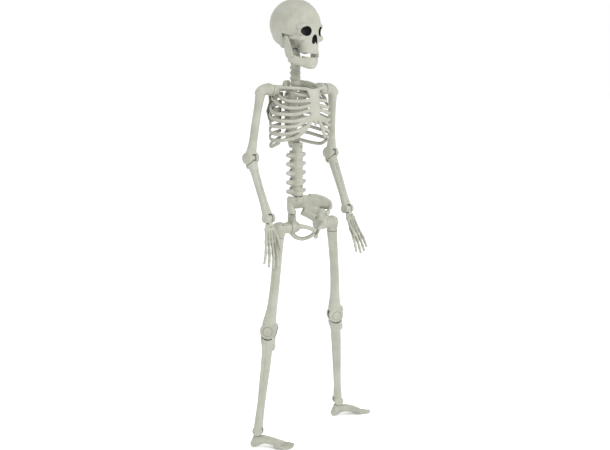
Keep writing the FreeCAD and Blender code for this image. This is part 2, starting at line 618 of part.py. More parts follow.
def build_leg(side, sign):
    corner = Vector(sign * corner_x, hip_y, hip_height)
    swung = about((1, 0, 0), size(side + "_leg_back"))
    tilted = about((0, 1, 0), -sign * size("leg_spread"))
    # the elbowed neck: its head turns on the pelvis, its peg carries the thigh
    neck = rod(("%d*-hip_neck_reach/2" % sign, "0", "0"), "x", "hip_neck_radius", "hip_neck_reach")
    knob = ball(("0", "0", "0"), "hip_corner_radius")
    drop = tilted.multVec(Vector(0, 0, -1))
    collar_end = drop * (size("thigh_collar") - size("face_gap"))
    peg_end = drop * (size("thigh_collar") + size("thigh_peg_length"))
    collar = between((0, 0, 0), collar_end, size("thigh_radius") + 2, size("thigh_radius"))
    peg = between(collar_end * 0.5, peg_end, size("thigh_peg_radius"), size("thigh_peg_radius"))
    axle_hole = rod(("%d*-hip_neck_reach" % sign, "0", "0"), "x", "hip_axle_radius+running_gap", "36")
    whole = cut(fuse(neck, knob, collar, peg), axle_hole)
    node(side + "_hip_neck", whole, Placement(corner, swung))
    axle_place = Placement(Vector(sign * size("hip_span") / 2, hip_y, hip_height), Rotation())
    node(side + "_hip_axle", rod(("0", "0", "0"), "x", "hip_axle_radius", "28"), axle_place)
    joint(side + "_hip_swing", corner, (-1, 0, 0))

    leg = leg_place[side]
    turned = leg.multiply(about((0, 0, 1), size(side + "_leg_turn")))
    joint(side + "_thigh_turn", corner, leg.multVec(Vector(0, 0, -1)))
    place = Placement(corner, turned)
    knee = Vector(0, 0, -size("thigh_length"))
    wall = size("bone_wall")
    shaft = between((0, 0, -size("thigh_collar")), knee, size("thigh_radius"), size("thigh_radius") + 0.5)
    flare = between(knee * 0.86, knee, size("thigh_radius"), size("knee_radius") * 0.92)
    hollow = between((0, 0, -size("thigh_collar") - size("thigh_peg_length") - 6), knee * 0.85,
                     size("thigh_radius") - wall, size("thigh_radius") - wall)
    socket = rod(("0", "0", "-thigh_collar"), "z", "thigh_peg_radius+running_gap", "2*(thigh_peg_length+1)")
    cheeks, slot, hole = fork("0", "thigh_length", "knee_radius", "knee_width", "knee_pin_radius")
    halves(side + "_thigh", cut(fuse(shaft, flare, cheeks), hollow, socket, slot, hole), place)
    knee_at = place.multVec(knee)
    node(side + "_knee_pin", hinge_pin("knee_width", "knee_pin_radius"), Placement(knee_at, turned))
    joint(side + "_knee_bend", knee_at, turned.multVec(Vector(1, 0, 0)))

    place = Placement(knee_at, turned)
    ankle = Vector(0, 0, -size("shin_length"))
    plateau = between(ankle * 0.04, ankle * 0.2, size("shin_radius") + 4, size("shin_radius"))
    shaft = between(ankle * 0.15, ankle, size("shin_radius"), size("shin_radius") - 2.5)
    inner = size("shin_radius") - wall
    hollow = between(ankle * 0.24, ankle * 0.88, inner - 1, inner - 2.5)
    saddle = rod(("0", "0", "0"), "x", "knee_radius+saddle_gap", "4*knee_width")
    disc, stem, pin_hole = tongue("knee_radius", "knee_radius*1.8", "knee_pin_radius")
    cheeks, slot, hole = fork("0", "shin_length", "ankle_radius", "ankle_width")
    bone = fuse(cut(fuse(plateau, shaft, cheeks), hollow, slot, hole, saddle), disc, stem)
    halves(side + "_shin", cut(bone, pin_hole), place)
    ankle_at = place.multVec(ankle)
    node(side + "_ankle_pin", hinge_pin("ankle_width"), Placement(ankle_at, turned))
    joint(side + "_ankle_bend", ankle_at, turned.multVec(Vector(1, 0, 0)))

    # the foot is flat on the floor and points where the leg points
    heading = about((0, 0, 1), size(side + "_leg_turn"))
    place = Placement(Vector(ankle_at.x, ankle_at.y, 0), heading)
    ankle_in_foot = Placement(Vector(0, 0, ankle_at.z), heading.inverted().multiply(turned))
    disc, stem, pin_hole = tongue("ankle_radius", "ankle_radius*1.5")
    block = carry(fuse(disc, stem), ankle_in_foot)
    saddle = carry(rod(("0", "0", "0"), "x", "ankle_radius+saddle_gap", "4*ankle_width"), ankle_in_foot)
    pin_hole = carry(pin_hole, ankle_in_foot)
    heel = box(("0", "heel_length/2-6", "(ankle_height-4)/2"), "foot_width*0.62", "heel_length+12",
               "ankle_height-4")
    length = size("foot_length") - size("heel_length")
    instep = doc.addObject("Part::Wedge", "Wedge")
    bottom = size("foot_width") * 0.9
    instep.Xmin, instep.Xmax = -bottom / 2, bottom / 2
    instep.Ymin, instep.Ymax = 0, size("ankle_height") - 8
    instep.Zmin, instep.Zmax = 0, length * 0.72
    instep.X2min, instep.X2max = -size("foot_width") / 2, size("foot_width") / 2
    instep.Z2min, instep.Z2max = 0, length * 0.72
    instep.Placement = Placement(Vector(0, 2, 0), Rotation(Vector(1, 0, 0), 90))
    toes = []
    for n in range(5):
        x = -sign * (-0.4 + 0.2 * n) * size("foot_width")
        reach = length * (1.0, 0.98, 0.94, 0.89, 0.82)[n]
        toes.append(box(("%g" % x, "%g" % (-(length * 0.6 + reach) / 2), "toe_height/2"), "foot_width*0.15",
                        "%g" % (reach - length * 0.6), "toe_height"))
    above = box(("0", "-foot_length/2", "ankle_height/2"), "2*foot_width", "foot_length", "ankle_height")
    slope = carry(above, Placement(Vector(0, -14, size("ankle_height") - 8), about((1, 0, 0), 21)))
    foot = fuse(cut(fuse(heel, instep, *toes), saddle, slope), block)
    node(side + "_foot", cut(foot, pin_hole), place)


for side, sign in SIDES.items():
    build_leg(side, sign)


# ---------------------------------------------------------------------------------------------------
# Check, centre over the floor and write
# ---------------------------------------------------------------------------------------------------

doc.recompute()
for item in doc.Objects:
    if "Invalid" in item.State or "Error" in item.State:
        raise RuntimeError("%s failed: %s" % (item.Label, item.State))
for label, piece in nodes.items():
    if piece.Shape.isNull() or not piece.Shape.isValid() or not piece.Shape.Solids:
        raise RuntimeError("%s has no valid solid" % label)

whole = FreeCAD.BoundBox()
for piece in nodes.values():
    whole.add(piece.Shape.optimalBoundingBox(True, False))
middle = Vector(whole.Center.x, whole.Center.y, whole.ZMin)
for piece in nodes.values():
    piece.Placement = Placement(piece.Placement.Base - middle, piece.Placement.Rotation)
doc.recompute()

os.makedirs("parts", exist_ok=True)
for label, piece in nodes.items():
    piece.Shape.exportStep("parts/%s.step" % label)
    print("%-26s %d solid(s) %9.0f mm3" % (label, len(piece.Shape.Solids), piece.Shape.Volume))
for name, (point, axis) in joints.items():
    point = point - middle
    print("joint %s %.4f %.4f %.4f %.6f %.6f %.6f" % (name, *point, *axis))
print("size %.1f %.1f %.1f" % (whole.XLength, whole.YLength, whole.ZLength))
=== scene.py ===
import json
import math

import bmesh
import bpy
from mathutils import Euler, Matrix, Vector


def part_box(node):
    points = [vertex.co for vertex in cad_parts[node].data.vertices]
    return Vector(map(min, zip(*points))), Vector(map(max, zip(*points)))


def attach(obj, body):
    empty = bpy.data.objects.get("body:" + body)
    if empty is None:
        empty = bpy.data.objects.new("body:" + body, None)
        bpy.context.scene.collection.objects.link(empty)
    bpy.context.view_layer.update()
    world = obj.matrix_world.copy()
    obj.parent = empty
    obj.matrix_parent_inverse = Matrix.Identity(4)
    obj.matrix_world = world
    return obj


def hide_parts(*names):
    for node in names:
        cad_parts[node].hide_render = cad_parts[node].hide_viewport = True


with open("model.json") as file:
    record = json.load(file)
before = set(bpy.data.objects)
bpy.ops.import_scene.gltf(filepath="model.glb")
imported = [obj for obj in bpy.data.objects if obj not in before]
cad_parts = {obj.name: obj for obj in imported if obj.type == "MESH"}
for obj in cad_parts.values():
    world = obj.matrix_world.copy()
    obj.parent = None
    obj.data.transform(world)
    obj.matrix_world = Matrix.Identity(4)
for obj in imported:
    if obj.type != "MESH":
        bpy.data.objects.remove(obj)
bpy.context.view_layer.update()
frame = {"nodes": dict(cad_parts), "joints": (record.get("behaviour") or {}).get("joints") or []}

bl_info = {
    "name": "Poseable Skeleton Figure",
    "version": (1, 0, 0),
    "blender": (4, 5, 0),
    "location": "3D View > Sidebar > Skeleton",
    "description": "Builds the moulded bones of a poseable skeleton figure around its packed frame",
    "category": "Object",
}

TO_METRES = 0.001
SIDES = {"right": -1, "left": 1}

# what every hinge shares, in millimetres
TONGUE = 9.0            # width of the tongue
SLOT = 10.0             # width of the slot that it turns in
CHEEK_GAP = 9.8         # between the cheeks, before the slot is cut
PIN_HOLE = 2.66         # radius
KNEE_PIN_HOLE = 3.26
PIN_COVER = 0.8         # skin left over each end of a pin
ELBOW_RADIUS, ELBOW_WIDTH = 13.0, 27.0
WRIST_RADIUS, WRIST_WIDTH = 10.0, 23.0
KNEE_RADIUS, KNEE_WIDTH = 17.0, 23.0
ANKLE_RADIUS, ANKLE_WIDTH = 10.5, 24.0
THROUGH = 40            # reach of a hole past both sides of a bone
PAST_TONGUE = 10.0      # reach of a hole past both sides of a tongue

JOINTS = {joint["name"]: joint for joint in frame["joints"]}


# ----------------------------------------------------------------------------------------------
# Colours and nodes
# ----------------------------------------------------------------------------------------------

def linear(hex_colour):
    """A linear RGBA colour from an sRGB hex value."""
    channels = [int(hex_colour[n:n + 2], 16) / 255 for n in (1, 3, 5)]
    return tuple(c / 12.92 if c <= 0.04045 else ((c + 0.055) / 1.055) ** 2.4 for c in channels) + (1.0,)


def add(tree, kind, settings=None, links=None):
    """Adds one node with its settings (by property or input name) and its incoming links."""
    node = tree.nodes.new(kind)
    for name, value in (settings or {}).items():
        if hasattr(node, name):
            setattr(node, name, value)
        else:
            node.inputs[name].default_value = value
    for name, socket in (links or {}).items():
        tree.links.new(socket, node.inputs[name])
    return node


def blend(tree, factor, first, second):
    """The colour output of a mix of two colours, each given as a value or as a socket."""
    node = add(tree, "ShaderNodeMix", {"data_type": "RGBA"}, {"Factor": factor})
    colours = [socket for socket in node.inputs if socket.type == "RGBA"]
    for socket, colour in zip(colours, (first, second)):
        if isinstance(colour, bpy.types.NodeSocket):
            tree.links.new(colour, socket)
        else:
            socket.default_value = colour
    return next(socket for socket in node.outputs if socket.type == "RGBA")


# ----------------------------------------------------------------------------------------------
# What a user would change
# ----------------------------------------------------------------------------------------------

class SkeletonSizes(bpy.types.PropertyGroup):
    arm_bone: bpy.props.FloatProperty(
        name="Arm bone", description="Radius of the upper arm at the middle of its shaft",
        default=0.0086, min=0.005, max=0.011, unit="LENGTH")
    leg_bone: bpy.props.FloatProperty(
        name="Leg bone", description="Radius of the thigh bone at the middle of its shaft",
        default=0.0094, min=0.006, max=0.012, unit="LENGTH")
    rib_thickness: bpy.props.FloatProperty(
        name="Rib thickness", description="Radial thickness of a rib",
        default=0.0046, min=0.003, max=0.006, unit="LENGTH")
    rib_height: bpy.props.FloatProperty(
        name="Rib height", description="Height of a rib's section",
        default=0.0078, min=0.004, max=0.010, unit="LENGTH")
    eye_socket: bpy.props.FloatProperty(
        name="Eye socket", description="Half of the width of an eye socket",
        default=0.0098, min=0.008, max=0.014, unit="LENGTH")
    jaw_open: bpy.props.FloatProperty(
        name="Jaw opening", description="How far the jaw stands open at rest, as in the packed frame",
        default=math.radians(12), unit="ROTATION")
    right_hand_forward: bpy.props.FloatProperty(
        name="Right hand forward", description="Forward lean of the right hand at rest",
        default=math.radians(6), unit="ROTATION")
    left_hand_forward: bpy.props.FloatProperty(
        name="Left hand forward", description="Forward lean of the left hand at rest",
        default=math.radians(26), unit="ROTATION")


class SkeletonFinish(bpy.types.PropertyGroup):
    bone: bpy.props.FloatVectorProperty(
        name="Bone", description="Colour of the moulded bone plastic",
        subtype="COLOR", size=4, min=0, max=1, default=linear("#98998C"))
    bone_light: bpy.props.FloatVectorProperty(
        name="Bone light", description="Paler clouds in the bone plastic",
        subtype="COLOR", size=4, min=0, max=1, default=linear("#A6A79B"))
    # olive-brown colour of the painted shade in corners and recesses, and of small random patches
    recess_shade_and_stain: bpy.props.FloatVectorProperty(
        name="Wash", description="Olive-brown stain that stays in the recesses",
        subtype="COLOR", size=4, min=0, max=1, default=linear("#544E36"))
    socket: bpy.props.FloatVectorProperty(
        name="Socket paint", description="Black paint in the eye and nose sockets",
        subtype="COLOR", size=4, min=0, max=1, default=linear("#141416"))
    steel: bpy.props.FloatVectorProperty(
        name="Pin steel", description="Colour of the hinge pins and screws",
        subtype="COLOR", size=4, min=0, max=1, default=linear("#B4B3AE"))
    floor: bpy.props.FloatVectorProperty(
        name="Floor", description="Colour of the plain floor",
        subtype="COLOR", size=4, min=0, max=1, default=linear("#FFFFFF"))


# ----------------------------------------------------------------------------------------------
# Materials
# ----------------------------------------------------------------------------------------------

def shader(name, **settings):
    """A new material with one Principled shader, whose constants sit on its own sockets."""
    made = bpy.data.materials.new(name)
    made.use_nodes = True
    tree = made.node_tree
    tree.nodes.clear()
    surface = add(tree, "ShaderNodeBsdfPrincipled", settings)
    add(tree, "ShaderNodeOutputMaterial", links={"Surface": surface.outputs["BSDF"]})
    return made, tree, surface


def bone_plastic():
    """Polypropylene, injection moulded in bone colour with a fine spark texture: pale and satin on the high
    parts, with painted shade, olive-brown and dull, in the corners and recesses, and small olive-brown
    patches at random."""
    finish = bpy.context.scene.skeleton_finish
    made, tree, surface = shader("bone_polypropylene_moulded_painted_shade", IOR=1.49)
    place = add(tree, "ShaderNodeTexCoord").outputs["Object"]
    clouds = add(tree, "ShaderNodeTexNoise", {"Scale": 1 / 0.028, "Detail": 4.0, "Roughness": 0.6},
                 {"Vector": place})
    tone = add(tree, "ShaderNodeMapRange", {"From Min": 0.36, "From Max": 0.66},
               {"Value": clouds.outputs["Fac"]})
    base = blend(tree, tone.outputs["Result"], finish.bone, finish.bone_light)
    # painted shade in corners and recesses, from ambient occlusion, and random olive-brown patches about 5
    # mm across
    corner = add(tree, "ShaderNodeAmbientOcclusion", {"samples": 8, "only_local": True, "Distance": 0.032})
    depth = add(tree, "ShaderNodeMapRange", {"From Min": 0.88, "From Max": 0.25, "To Max": 0.9},
                {"Value": corner.outputs["AO"]})
    pits = add(tree, "ShaderNodeTexNoise", {"Scale": 1 / 0.005, "Detail": 2.0, "Roughness": 0.5},
               {"Vector": place})
    patch = add(tree, "ShaderNodeMapRange", {"From Min": 0.62, "From Max": 0.78, "To Max": 0.16},
                {"Value": pits.outputs["Fac"]})
    # painted shade in the recesses plus the random olive-brown patches, laid over the bone colour
    shade_and_stain = add(tree, "ShaderNodeMath", {"operation": "ADD", "use_clamp": True})
    tree.links.new(depth.outputs["Result"], shade_and_stain.inputs[0])
    tree.links.new(patch.outputs["Result"], shade_and_stain.inputs[1])
    tree.links.new(blend(tree, shade_and_stain.outputs["Value"], base, finish.recess_shade_and_stain), surface.inputs["Base Color"])
    rough = add(tree, "ShaderNodeMapRange", {"To Min": 0.42, "To Max": 0.66},
                {"Value": shade_and_stain.outputs["Value"]})
    tree.links.new(rough.outputs["Result"], surface.inputs["Roughness"])
    # spark texture of about 1 mm, with longer waves of 9 mm from the hollow moulding
    grain = add(tree, "ShaderNodeTexNoise", {"Scale": 1 / 0.0011, "Detail": 2.0}, {"Vector": place})
    waves = add(tree, "ShaderNodeTexNoise", {"Scale": 1 / 0.009, "Detail": 1.0}, {"Vector": place})
    fine = add(tree, "ShaderNodeBump", {"Strength": 0.25, "Distance": 0.0002},
               {"Height": grain.outputs["Fac"]})
    relief = add(tree, "ShaderNodeBump", {"Strength": 0.35, "Distance": 0.0008},
                 {"Height": waves.outputs["Fac"], "Normal": fine.outputs["Normal"]})
    tree.links.new(relief.outputs["Normal"], surface.inputs["Normal"])
    return made


def socket_paint():
    """Black acrylic paint, sprayed into the sockets of the skull: nearly black, a little satin."""
    finish = bpy.context.scene.skeleton_finish
    made, tree, surface = shader("socket_acrylic_sprayed", Roughness=0.5, IOR=1.47)
    place = add(tree, "ShaderNodeTexCoord").outputs["Object"]
    specks = add(tree, "ShaderNodeTexNoise", {"Scale": 1 / 0.003, "Detail": 3.0}, {"Vector": place})
    base = blend(tree, specks.outputs["Fac"], finish.socket, linear("#222226"))
    tree.links.new(base, surface.inputs["Base Color"])
    relief = add(tree, "ShaderNodeBump", {"Strength": 0.2, "Distance": 0.0003},
                 {"Height": specks.outputs["Fac"]})
    tree.links.new(relief.outputs["Normal"], surface.inputs["Normal"])
    return made


def pin_steel():
    """Mild steel wire, drawn and cut: dull grey with fine lines around the cut faces."""
    finish = bpy.context.scene.skeleton_finish
    made, tree, surface = shader("pin_steel_drawn", Metallic=1.0)
    place = add(tree, "ShaderNodeTexCoord").outputs["Object"]
    lines = add(tree, "ShaderNodeTexNoise", {"Scale": 1 / 0.0012, "Detail": 3.0}, {"Vector": place})
    base = blend(tree, lines.outputs["Fac"], finish.steel, linear("#8F8E88"))
    tree.links.new(base, surface.inputs["Base Color"])
    rough = add(tree, "ShaderNodeMapRange", {"To Min": 0.32, "To Max": 0.5},
                {"Value": lines.outputs["Fac"]})
    tree.links.new(rough.outputs["Result"], surface.inputs["Roughness"])
    return made


def floor_card():
    """Matte paper backdrop, rolled: even white."""
    made, tree, surface = shader("floor_paper_matte", **{
        "Roughness": 0.9, "Emission Color": linear("#FFFFFF"), "Emission Strength": 0.2})
    place = add(tree, "ShaderNodeTexCoord").outputs["Object"]
    fibre = add(tree, "ShaderNodeTexNoise", {"Scale": 60.0, "Detail": 2.0}, {"Vector": place})
    base = blend(tree, fibre.outputs["Fac"], bpy.context.scene.skeleton_finish.floor, linear("#FBFBFB"))
    tree.links.new(base, surface.inputs["Base Color"])
    return made


MAKERS = {"bone": bone_plastic, "skull": bone_plastic, "socket": socket_paint, "pin": pin_steel,
          "floor": floor_card}
made_materials = {}


def material(slot):
    """The material of a slot, made once."""
    maker = MAKERS[slot]
    if maker not in made_materials:
        made_materials[maker] = maker()
    return made_materials[maker]


# ----------------------------------------------------------------------------------------------
# Shapes, in millimetres, each in the frame of its own bone
# ----------------------------------------------------------------------------------------------

def at(centre, turn=(0, 0, 0), scale=(1, 1, 1)):
    return Matrix.LocRotScale(Vector(centre), Euler([math.radians(a) for a in turn]), Vector(scale))


def egg(form, centre, radii, turn=(0, 0, 0)):
    """An ellipsoid."""
    bmesh.ops.create_icosphere(form, subdivisions=4, radius=1, matrix=at(centre, turn, radii))


def slab(form, centre, size, turn=(0, 0, 0)):
    bmesh.ops.create_cube(form, size=1, matrix=at(centre, turn, size))


def rod(form, start, end, radius_start, radius_end=None, segments=40):
    """A round bar, straight or tapered, between two points."""
    a, b = Vector(start), Vector(end)
    turn = (b - a).to_track_quat("Z", "Y")
    bmesh.ops.create_cone(
        form, cap_ends=True, segments=segments, radius1=radius_start,
        radius2=radius_start if radius_end is None else radius_end, depth=(b - a).length,
        matrix=Matrix.LocRotScale((a + b) / 2, turn, None))


def single(shape, *place, **settings):
    """A form that holds one shape only."""
    form = bmesh.new()
    shape(form, *place, **settings)
    return form


def loft(form, stations, across=(1, 0, 0), sides=24, closed=False):
    """A smooth bar through stations of (x, y, z, half width, half depth). The width lies along across."""
    points = [Vector(s[:3]) for s in stations]
    count = len(points)
    rings = []
    for n, station in enumerate(stations):
        before = points[n - 1] if closed or n else points[0]
        after = points[(n + 1) % count] if closed or n + 1 < count else points[-1]
        along = (after - before).normalized()
        wide = Vector(across) - along * along.dot(Vector(across))
        wide.normalize()
        deep = along.cross(wide)
        turn = Matrix((wide, deep, along)).transposed().to_4x4()
        matrix = Matrix.Translation(points[n]) @ turn @ Matrix.Diagonal((station[3], station[4], 1, 1))
        verts = bmesh.ops.create_circle(form, segments=sides, radius=1, matrix=matrix)["verts"]
        rings.append([form.edges.get((verts[k - 1], verts[k])) for k in range(sides)])
    for n in range(count if closed else count - 1):
        bmesh.ops.bridge_loops(form, edges=rings[n] + rings[(n + 1) % count])
    if not closed:
        for ring in (rings[0], rings[-1]):
            bmesh.ops.contextual_create(form, geom=ring)


def smooth_path(points, steps):
    """Points along a smooth curve through the given ones, each with its other values blended too."""
    out = []
    count = len(points)
    for n in range(count - 1):
        p0 = points[max(n - 1, 0)]
        p1, p2 = points[n], points[n + 1]
        p3 = points[min(n + 2, count - 1)]
        for k in range(steps):
            t = k / steps
            out.append(tuple(
                0.5 * (2 * b + (c - a) * t + (2 * a - 5 * b + 4 * c - d) * t * t
                       + (3 * b - a - 3 * c + d) * t ** 3)
                for a, b, c, d in zip(p0, p1, p2, p3)))
    out.append(tuple(points[-1]))
    return out


def on_side(side, stations):
    """Stations given for the left side, on the left (1) or mirrored to the right (-1)."""
    return [(side * x, *rest) for x, *rest in stations]


def as_object(form, name="form"):
    bmesh.ops.recalc_face_normals(form, faces=form.faces)
    mesh = bpy.data.meshes.new(name)
    form.to_mesh(mesh)
    form.free()
    piece = bpy.data.objects.new(name, mesh)
    bpy.context.scene.collection.objects.link(piece)
    return piece


def settle(piece):
    """Applies a piece's modifiers."""
    graph = bpy.context.evaluated_depsgraph_get()
    mesh = bpy.data.meshes.new_from_object(piece.evaluated_get(graph))
    piece.modifiers.clear()
    piece.data = mesh


def remesh(piece, voxel, passes):
    """Runs overlapping forms together into one skin and rounds its edges over."""
    skin = piece.modifiers.new("Skin", "REMESH")
    skin.mode = "VOXEL"
    skin.voxel_size = voxel
    if passes:
        soften = piece.modifiers.new("Soften", "SMOOTH")
        soften.factor = 0.5
        soften.iterations = passes
    settle(piece)


def combine(piece, form, operation="DIFFERENCE"):
    """Cuts a form out of a piece, or joins it on."""
    tool = as_object(form, "tool")
    boolean = piece.modifiers.new("Combine", "BOOLEAN")
    boolean.operation = operation
    boolean.solver = "MANIFOLD"
    boolean.object = tool
    settle(piece)
    piece.data.materials.clear()     # a cut leaves an empty material slot behind
    bpy.data.objects.remove(tool)


def mould(form, voxel=1.1, passes=3, cuts=(), again=0.0):
    """A moulded piece: forms run together, softened, then cut with each of the cutting forms."""
    piece = as_object(form)
    remesh(piece, voxel, passes)
    for cutter in cuts:
        combine(piece, cutter)
    if again:
        remesh(piece, again, 1)
    return piece


def put(piece, name, matrix, body, slot, nodes):
    """Finishes a piece: its place goes into its mesh, and it stands for its CAD nodes."""
    piece.name = name
    piece.data.name = name
    piece.data.transform(matrix @ Matrix.Scale(TO_METRES, 4))
    if matrix.determinant() < 0:
        piece.data.flip_normals()
    piece.data.shade_smooth()
    piece.data.set_sharp_from_angle(angle=math.radians(42))
    if not piece.data.materials:
        piece.data.materials.append(material(slot))
    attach(piece, body)
    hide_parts(*nodes)


def half(whole, plane, front):
    """One half of a moulding. Its rim on the parting plane is drawn in a little, as a mould line."""
    form = bmesh.new()
    form.from_mesh(whole.data)
    normal = Vector((0, 1, 0)) if front else Vector((0, -1, 0))
    bmesh.ops.bisect_plane(
        form, geom=list(form.verts) + list(form.edges) + list(form.faces), dist=1e-4,
        plane_co=(0, plane, 0), plane_no=normal, clear_outer=True, clear_inner=False)
    rim = [edge for edge in form.edges if edge.is_boundary]
    form.normal_update()
    moved = {vert: vert.normal.copy() for edge in rim for vert in edge.verts}
    for vert, way in moved.items():
        way.y = 0
        vert.co -= way * 0.32
    bmesh.ops.holes_fill(form, edges=rim, sides=0)
    return as_object(form)


def put_halves(whole, label, matrix, body, slot, plane=0.0):
    """Puts both halves of a moulding in place, on the body of their CAD nodes."""
    for name in ("front", "back"):
        piece = half(whole, plane, name == "front")
        for kept in whole.data.materials:
            piece.data.materials.append(kept)
        put(piece, "%s_%s_shell" % (label, name), matrix, body, slot, ["%s_%s" % (label, name)])
    bpy.data.objects.remove(whole)


# ----------------------------------------------------------------------------------------------
# Where the bones are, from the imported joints
# ----------------------------------------------------------------------------------------------

def point(joint):
    return Vector(JOINTS[joint]["pos_m"])


def axis(joint):
    return Vector(JOINTS[joint]["axis"]).normalized()


def bone_frame(upper, lower, across):
    """The frame of a bone: origin at its upper joint, X along its hinge, -Z towards its lower joint."""
    x = across.normalized()
    z = point(upper) - point(lower)
    z = (z - x * z.dot(x)).normalized()
    turn = Matrix((x, z.cross(x), z)).transposed().to_4x4()
    return Matrix.Translation(point(upper)) @ turn


def hinge_fork(form, centre, radius, width, slot_width):
    """The two cheeks of a hinge, rounded like a pair of knuckles, with a gap between them."""
    x, y, z = centre
    lobe = (width - slot_width) / 4
    for way in (-1, 1):
        middle = x + way * (slot_width / 2 + lobe)
        rod(form, (middle - lobe, y, z), (middle + lobe, y, z), radius * 0.93)
        egg(form, (middle, y, z), (lobe * 1.15, radius * 0.99, radius * 0.99))


def slot_cut(centre, radius, slot_width):
    """The slot of a hinge: open below, and flat at its top."""
    x, y, z = centre
    top = radius * 0.72 + 0.5
    return single(slab, (x, y, z + top - radius * 1.1), (slot_width, radius * 4, radius * 2.2))


def saddle_cut(radius):
    """The hollow that a fork turns over, right across a bone."""
    return single(rod, (-60, 0, 0), (60, 0, 0), radius, segments=72)


def join_tongue(whole, radius, segments, middle, depth, height, turned=None):
    """Joins on the tongue that turns in a slot: a round knob and the stem under it."""
    knob = single(rod, (-TONGUE / 2, 0, 0), (TONGUE / 2, 0, 0), radius, segments=segments)
    stem = single(slab, (0, 0, middle), (TONGUE, depth, height))
    for form in (knob, stem):
        if turned is not None:
            form.transform(turned)
        combine(whole, form, "UNION")


# ----------------------------------------------------------------------------------------------
# Head
# ----------------------------------------------------------------------------------------------

def socket_places():
    """The hollows of the face: one leaning drop for each eye, and the nose as two drops under a point."""
    wide = bpy.context.scene.skeleton_sizes.eye_socket / TO_METRES
    eyes = [at((side * 19.5, -46.0, 33.5), (0, side * 20, side * -14), (wide, 14, wide * 1.08))
            for side in (-1, 1)]
    return eyes + [at((side * 3.2, -54.0, 17.0), (0, side * -14, 0), (4.5, 11, 9.4)) for side in (-1, 1)]


def socket_forms():
    forms = []
    for place in socket_places():
        hollow = bmesh.new()
        bmesh.ops.create_icosphere(hollow, subdivisions=4, radius=1, matrix=place)
        forms.append(hollow)
    return forms


def skull_form():
    form = bmesh.new()
    egg(form, (0, 2, 49), (46, 57.5, 52))
    # the back of the head hangs lower and runs in to the nape
    egg(form, (0, 20, 32), (36, 34, 30))
    # forehead, brow and the side of the face
    egg(form, (0, -26, 52), (36, 30, 34))
    face = [(0, -31, 48, 35, 25), (0, -33, 36, 34, 24.5), (0, -35, 25, 32.5, 21.5),
            (0, -37, 16, 28.5, 18.5),
            (0, -38, 8, 22.5, 17.5), (0, -38, 0, 20.5, 17.8), (0, -37.5, -6, 19.5, 17.4),
            (0, -37, -10, 18.5, 16.6)]
    loft(form, face, sides=40)
    for side in (-1, 1):
        # brow ridge, cheek bone and the arch that runs back from it
        loft(form, on_side(side, [(5, -51, 43.5, 4, 3.5), (15, -52, 46, 4.5, 4),
                                  (26, -47, 45, 4.5, 4.5), (34, -37, 40, 4.5, 5)]), across=(0, 0, 1))
        egg(form, (side * 26, -40, 19.5), (9, 11, 7.5), (0, 0, side * 28))
        loft(form, on_side(side, [(31, -36, 21, 5.5, 5), (35.5, -24, 22, 5, 4), (37.5, -12, 24, 5, 3.5),
                                  (38, 0, 26, 6, 4)]), across=(0, 0, 1))
        # the bump behind the ear
        egg(form, (side * 30, 6, 10), (7, 9, 11))
    # bridge of the nose and the ledge below it
    loft(form, [(0, -50, 42, 4.5, 4), (0, -54, 33, 3.6, 4), (0, -57, 27.5, 2.8, 3.2)])
    egg(form, (0, -54.5, 7.5), (4, 3, 3))
    # upper teeth, on the arch of the jaw
    for n in range(12):
        turn = math.radians(-82 + 15 * n)
        rise = 4 * (1 - math.cos(turn))
        egg(form, (19.4 * math.sin(turn), -34.5 - 20.8 * math.cos(turn), -9.0 + rise), (2.2, 2.4, 5.0))
        egg(form, (19.0 * math.sin(turn), -34.5 - 20.6 * math.cos(turn), -2.0 + rise), (1.2, 1.6, 6.0))
    # the roof of the mouth, behind the teeth
    egg(form, (0, -27, -2), (17, 9, 11))
    # the base, as broad as the neck needs
    egg(form, (0, 4, 9), (25, 28, 12))
    return form


def build_skull():
    matrix = Matrix.Translation(point("head_turn"))
    cuts = socket_forms()
    neck_room = single(rod, (0, 0, -30), (0, 0, 0), 14.2)
    under = single(slab, (0, 20, -12), (90, 90, 24))
    # the hollow behind the face, in front of the jaw
    for side in (-1, 1):
        cuts.append(single(egg, (side * 31, -17, 3), (11, 11, 15)))
    whole = mould(skull_form(), 1.15, 3, cuts + [neck_room, under], again=1.0)
    hinge = point("jaw_open") - point("head_turn")
    y, z = hinge.y / TO_METRES, hinge.z / TO_METRES
    for side in (-1, 1):
        combine(whole, single(slab, (side * 41.8, y - 1, z - 12), (9.0, 30, 42), (12, 0, 0)))
    whole.data.materials.append(material("skull"))
    whole.data.materials.append(material("socket"))
    painted = [place.inverted() for place in socket_places()]
    for face in whole.data.polygons:
        if any((inward @ face.center).length < 1.05 for inward in painted):
            face.material_index = 1
    put_halves(whole, "skull", matrix, "head", "skull")


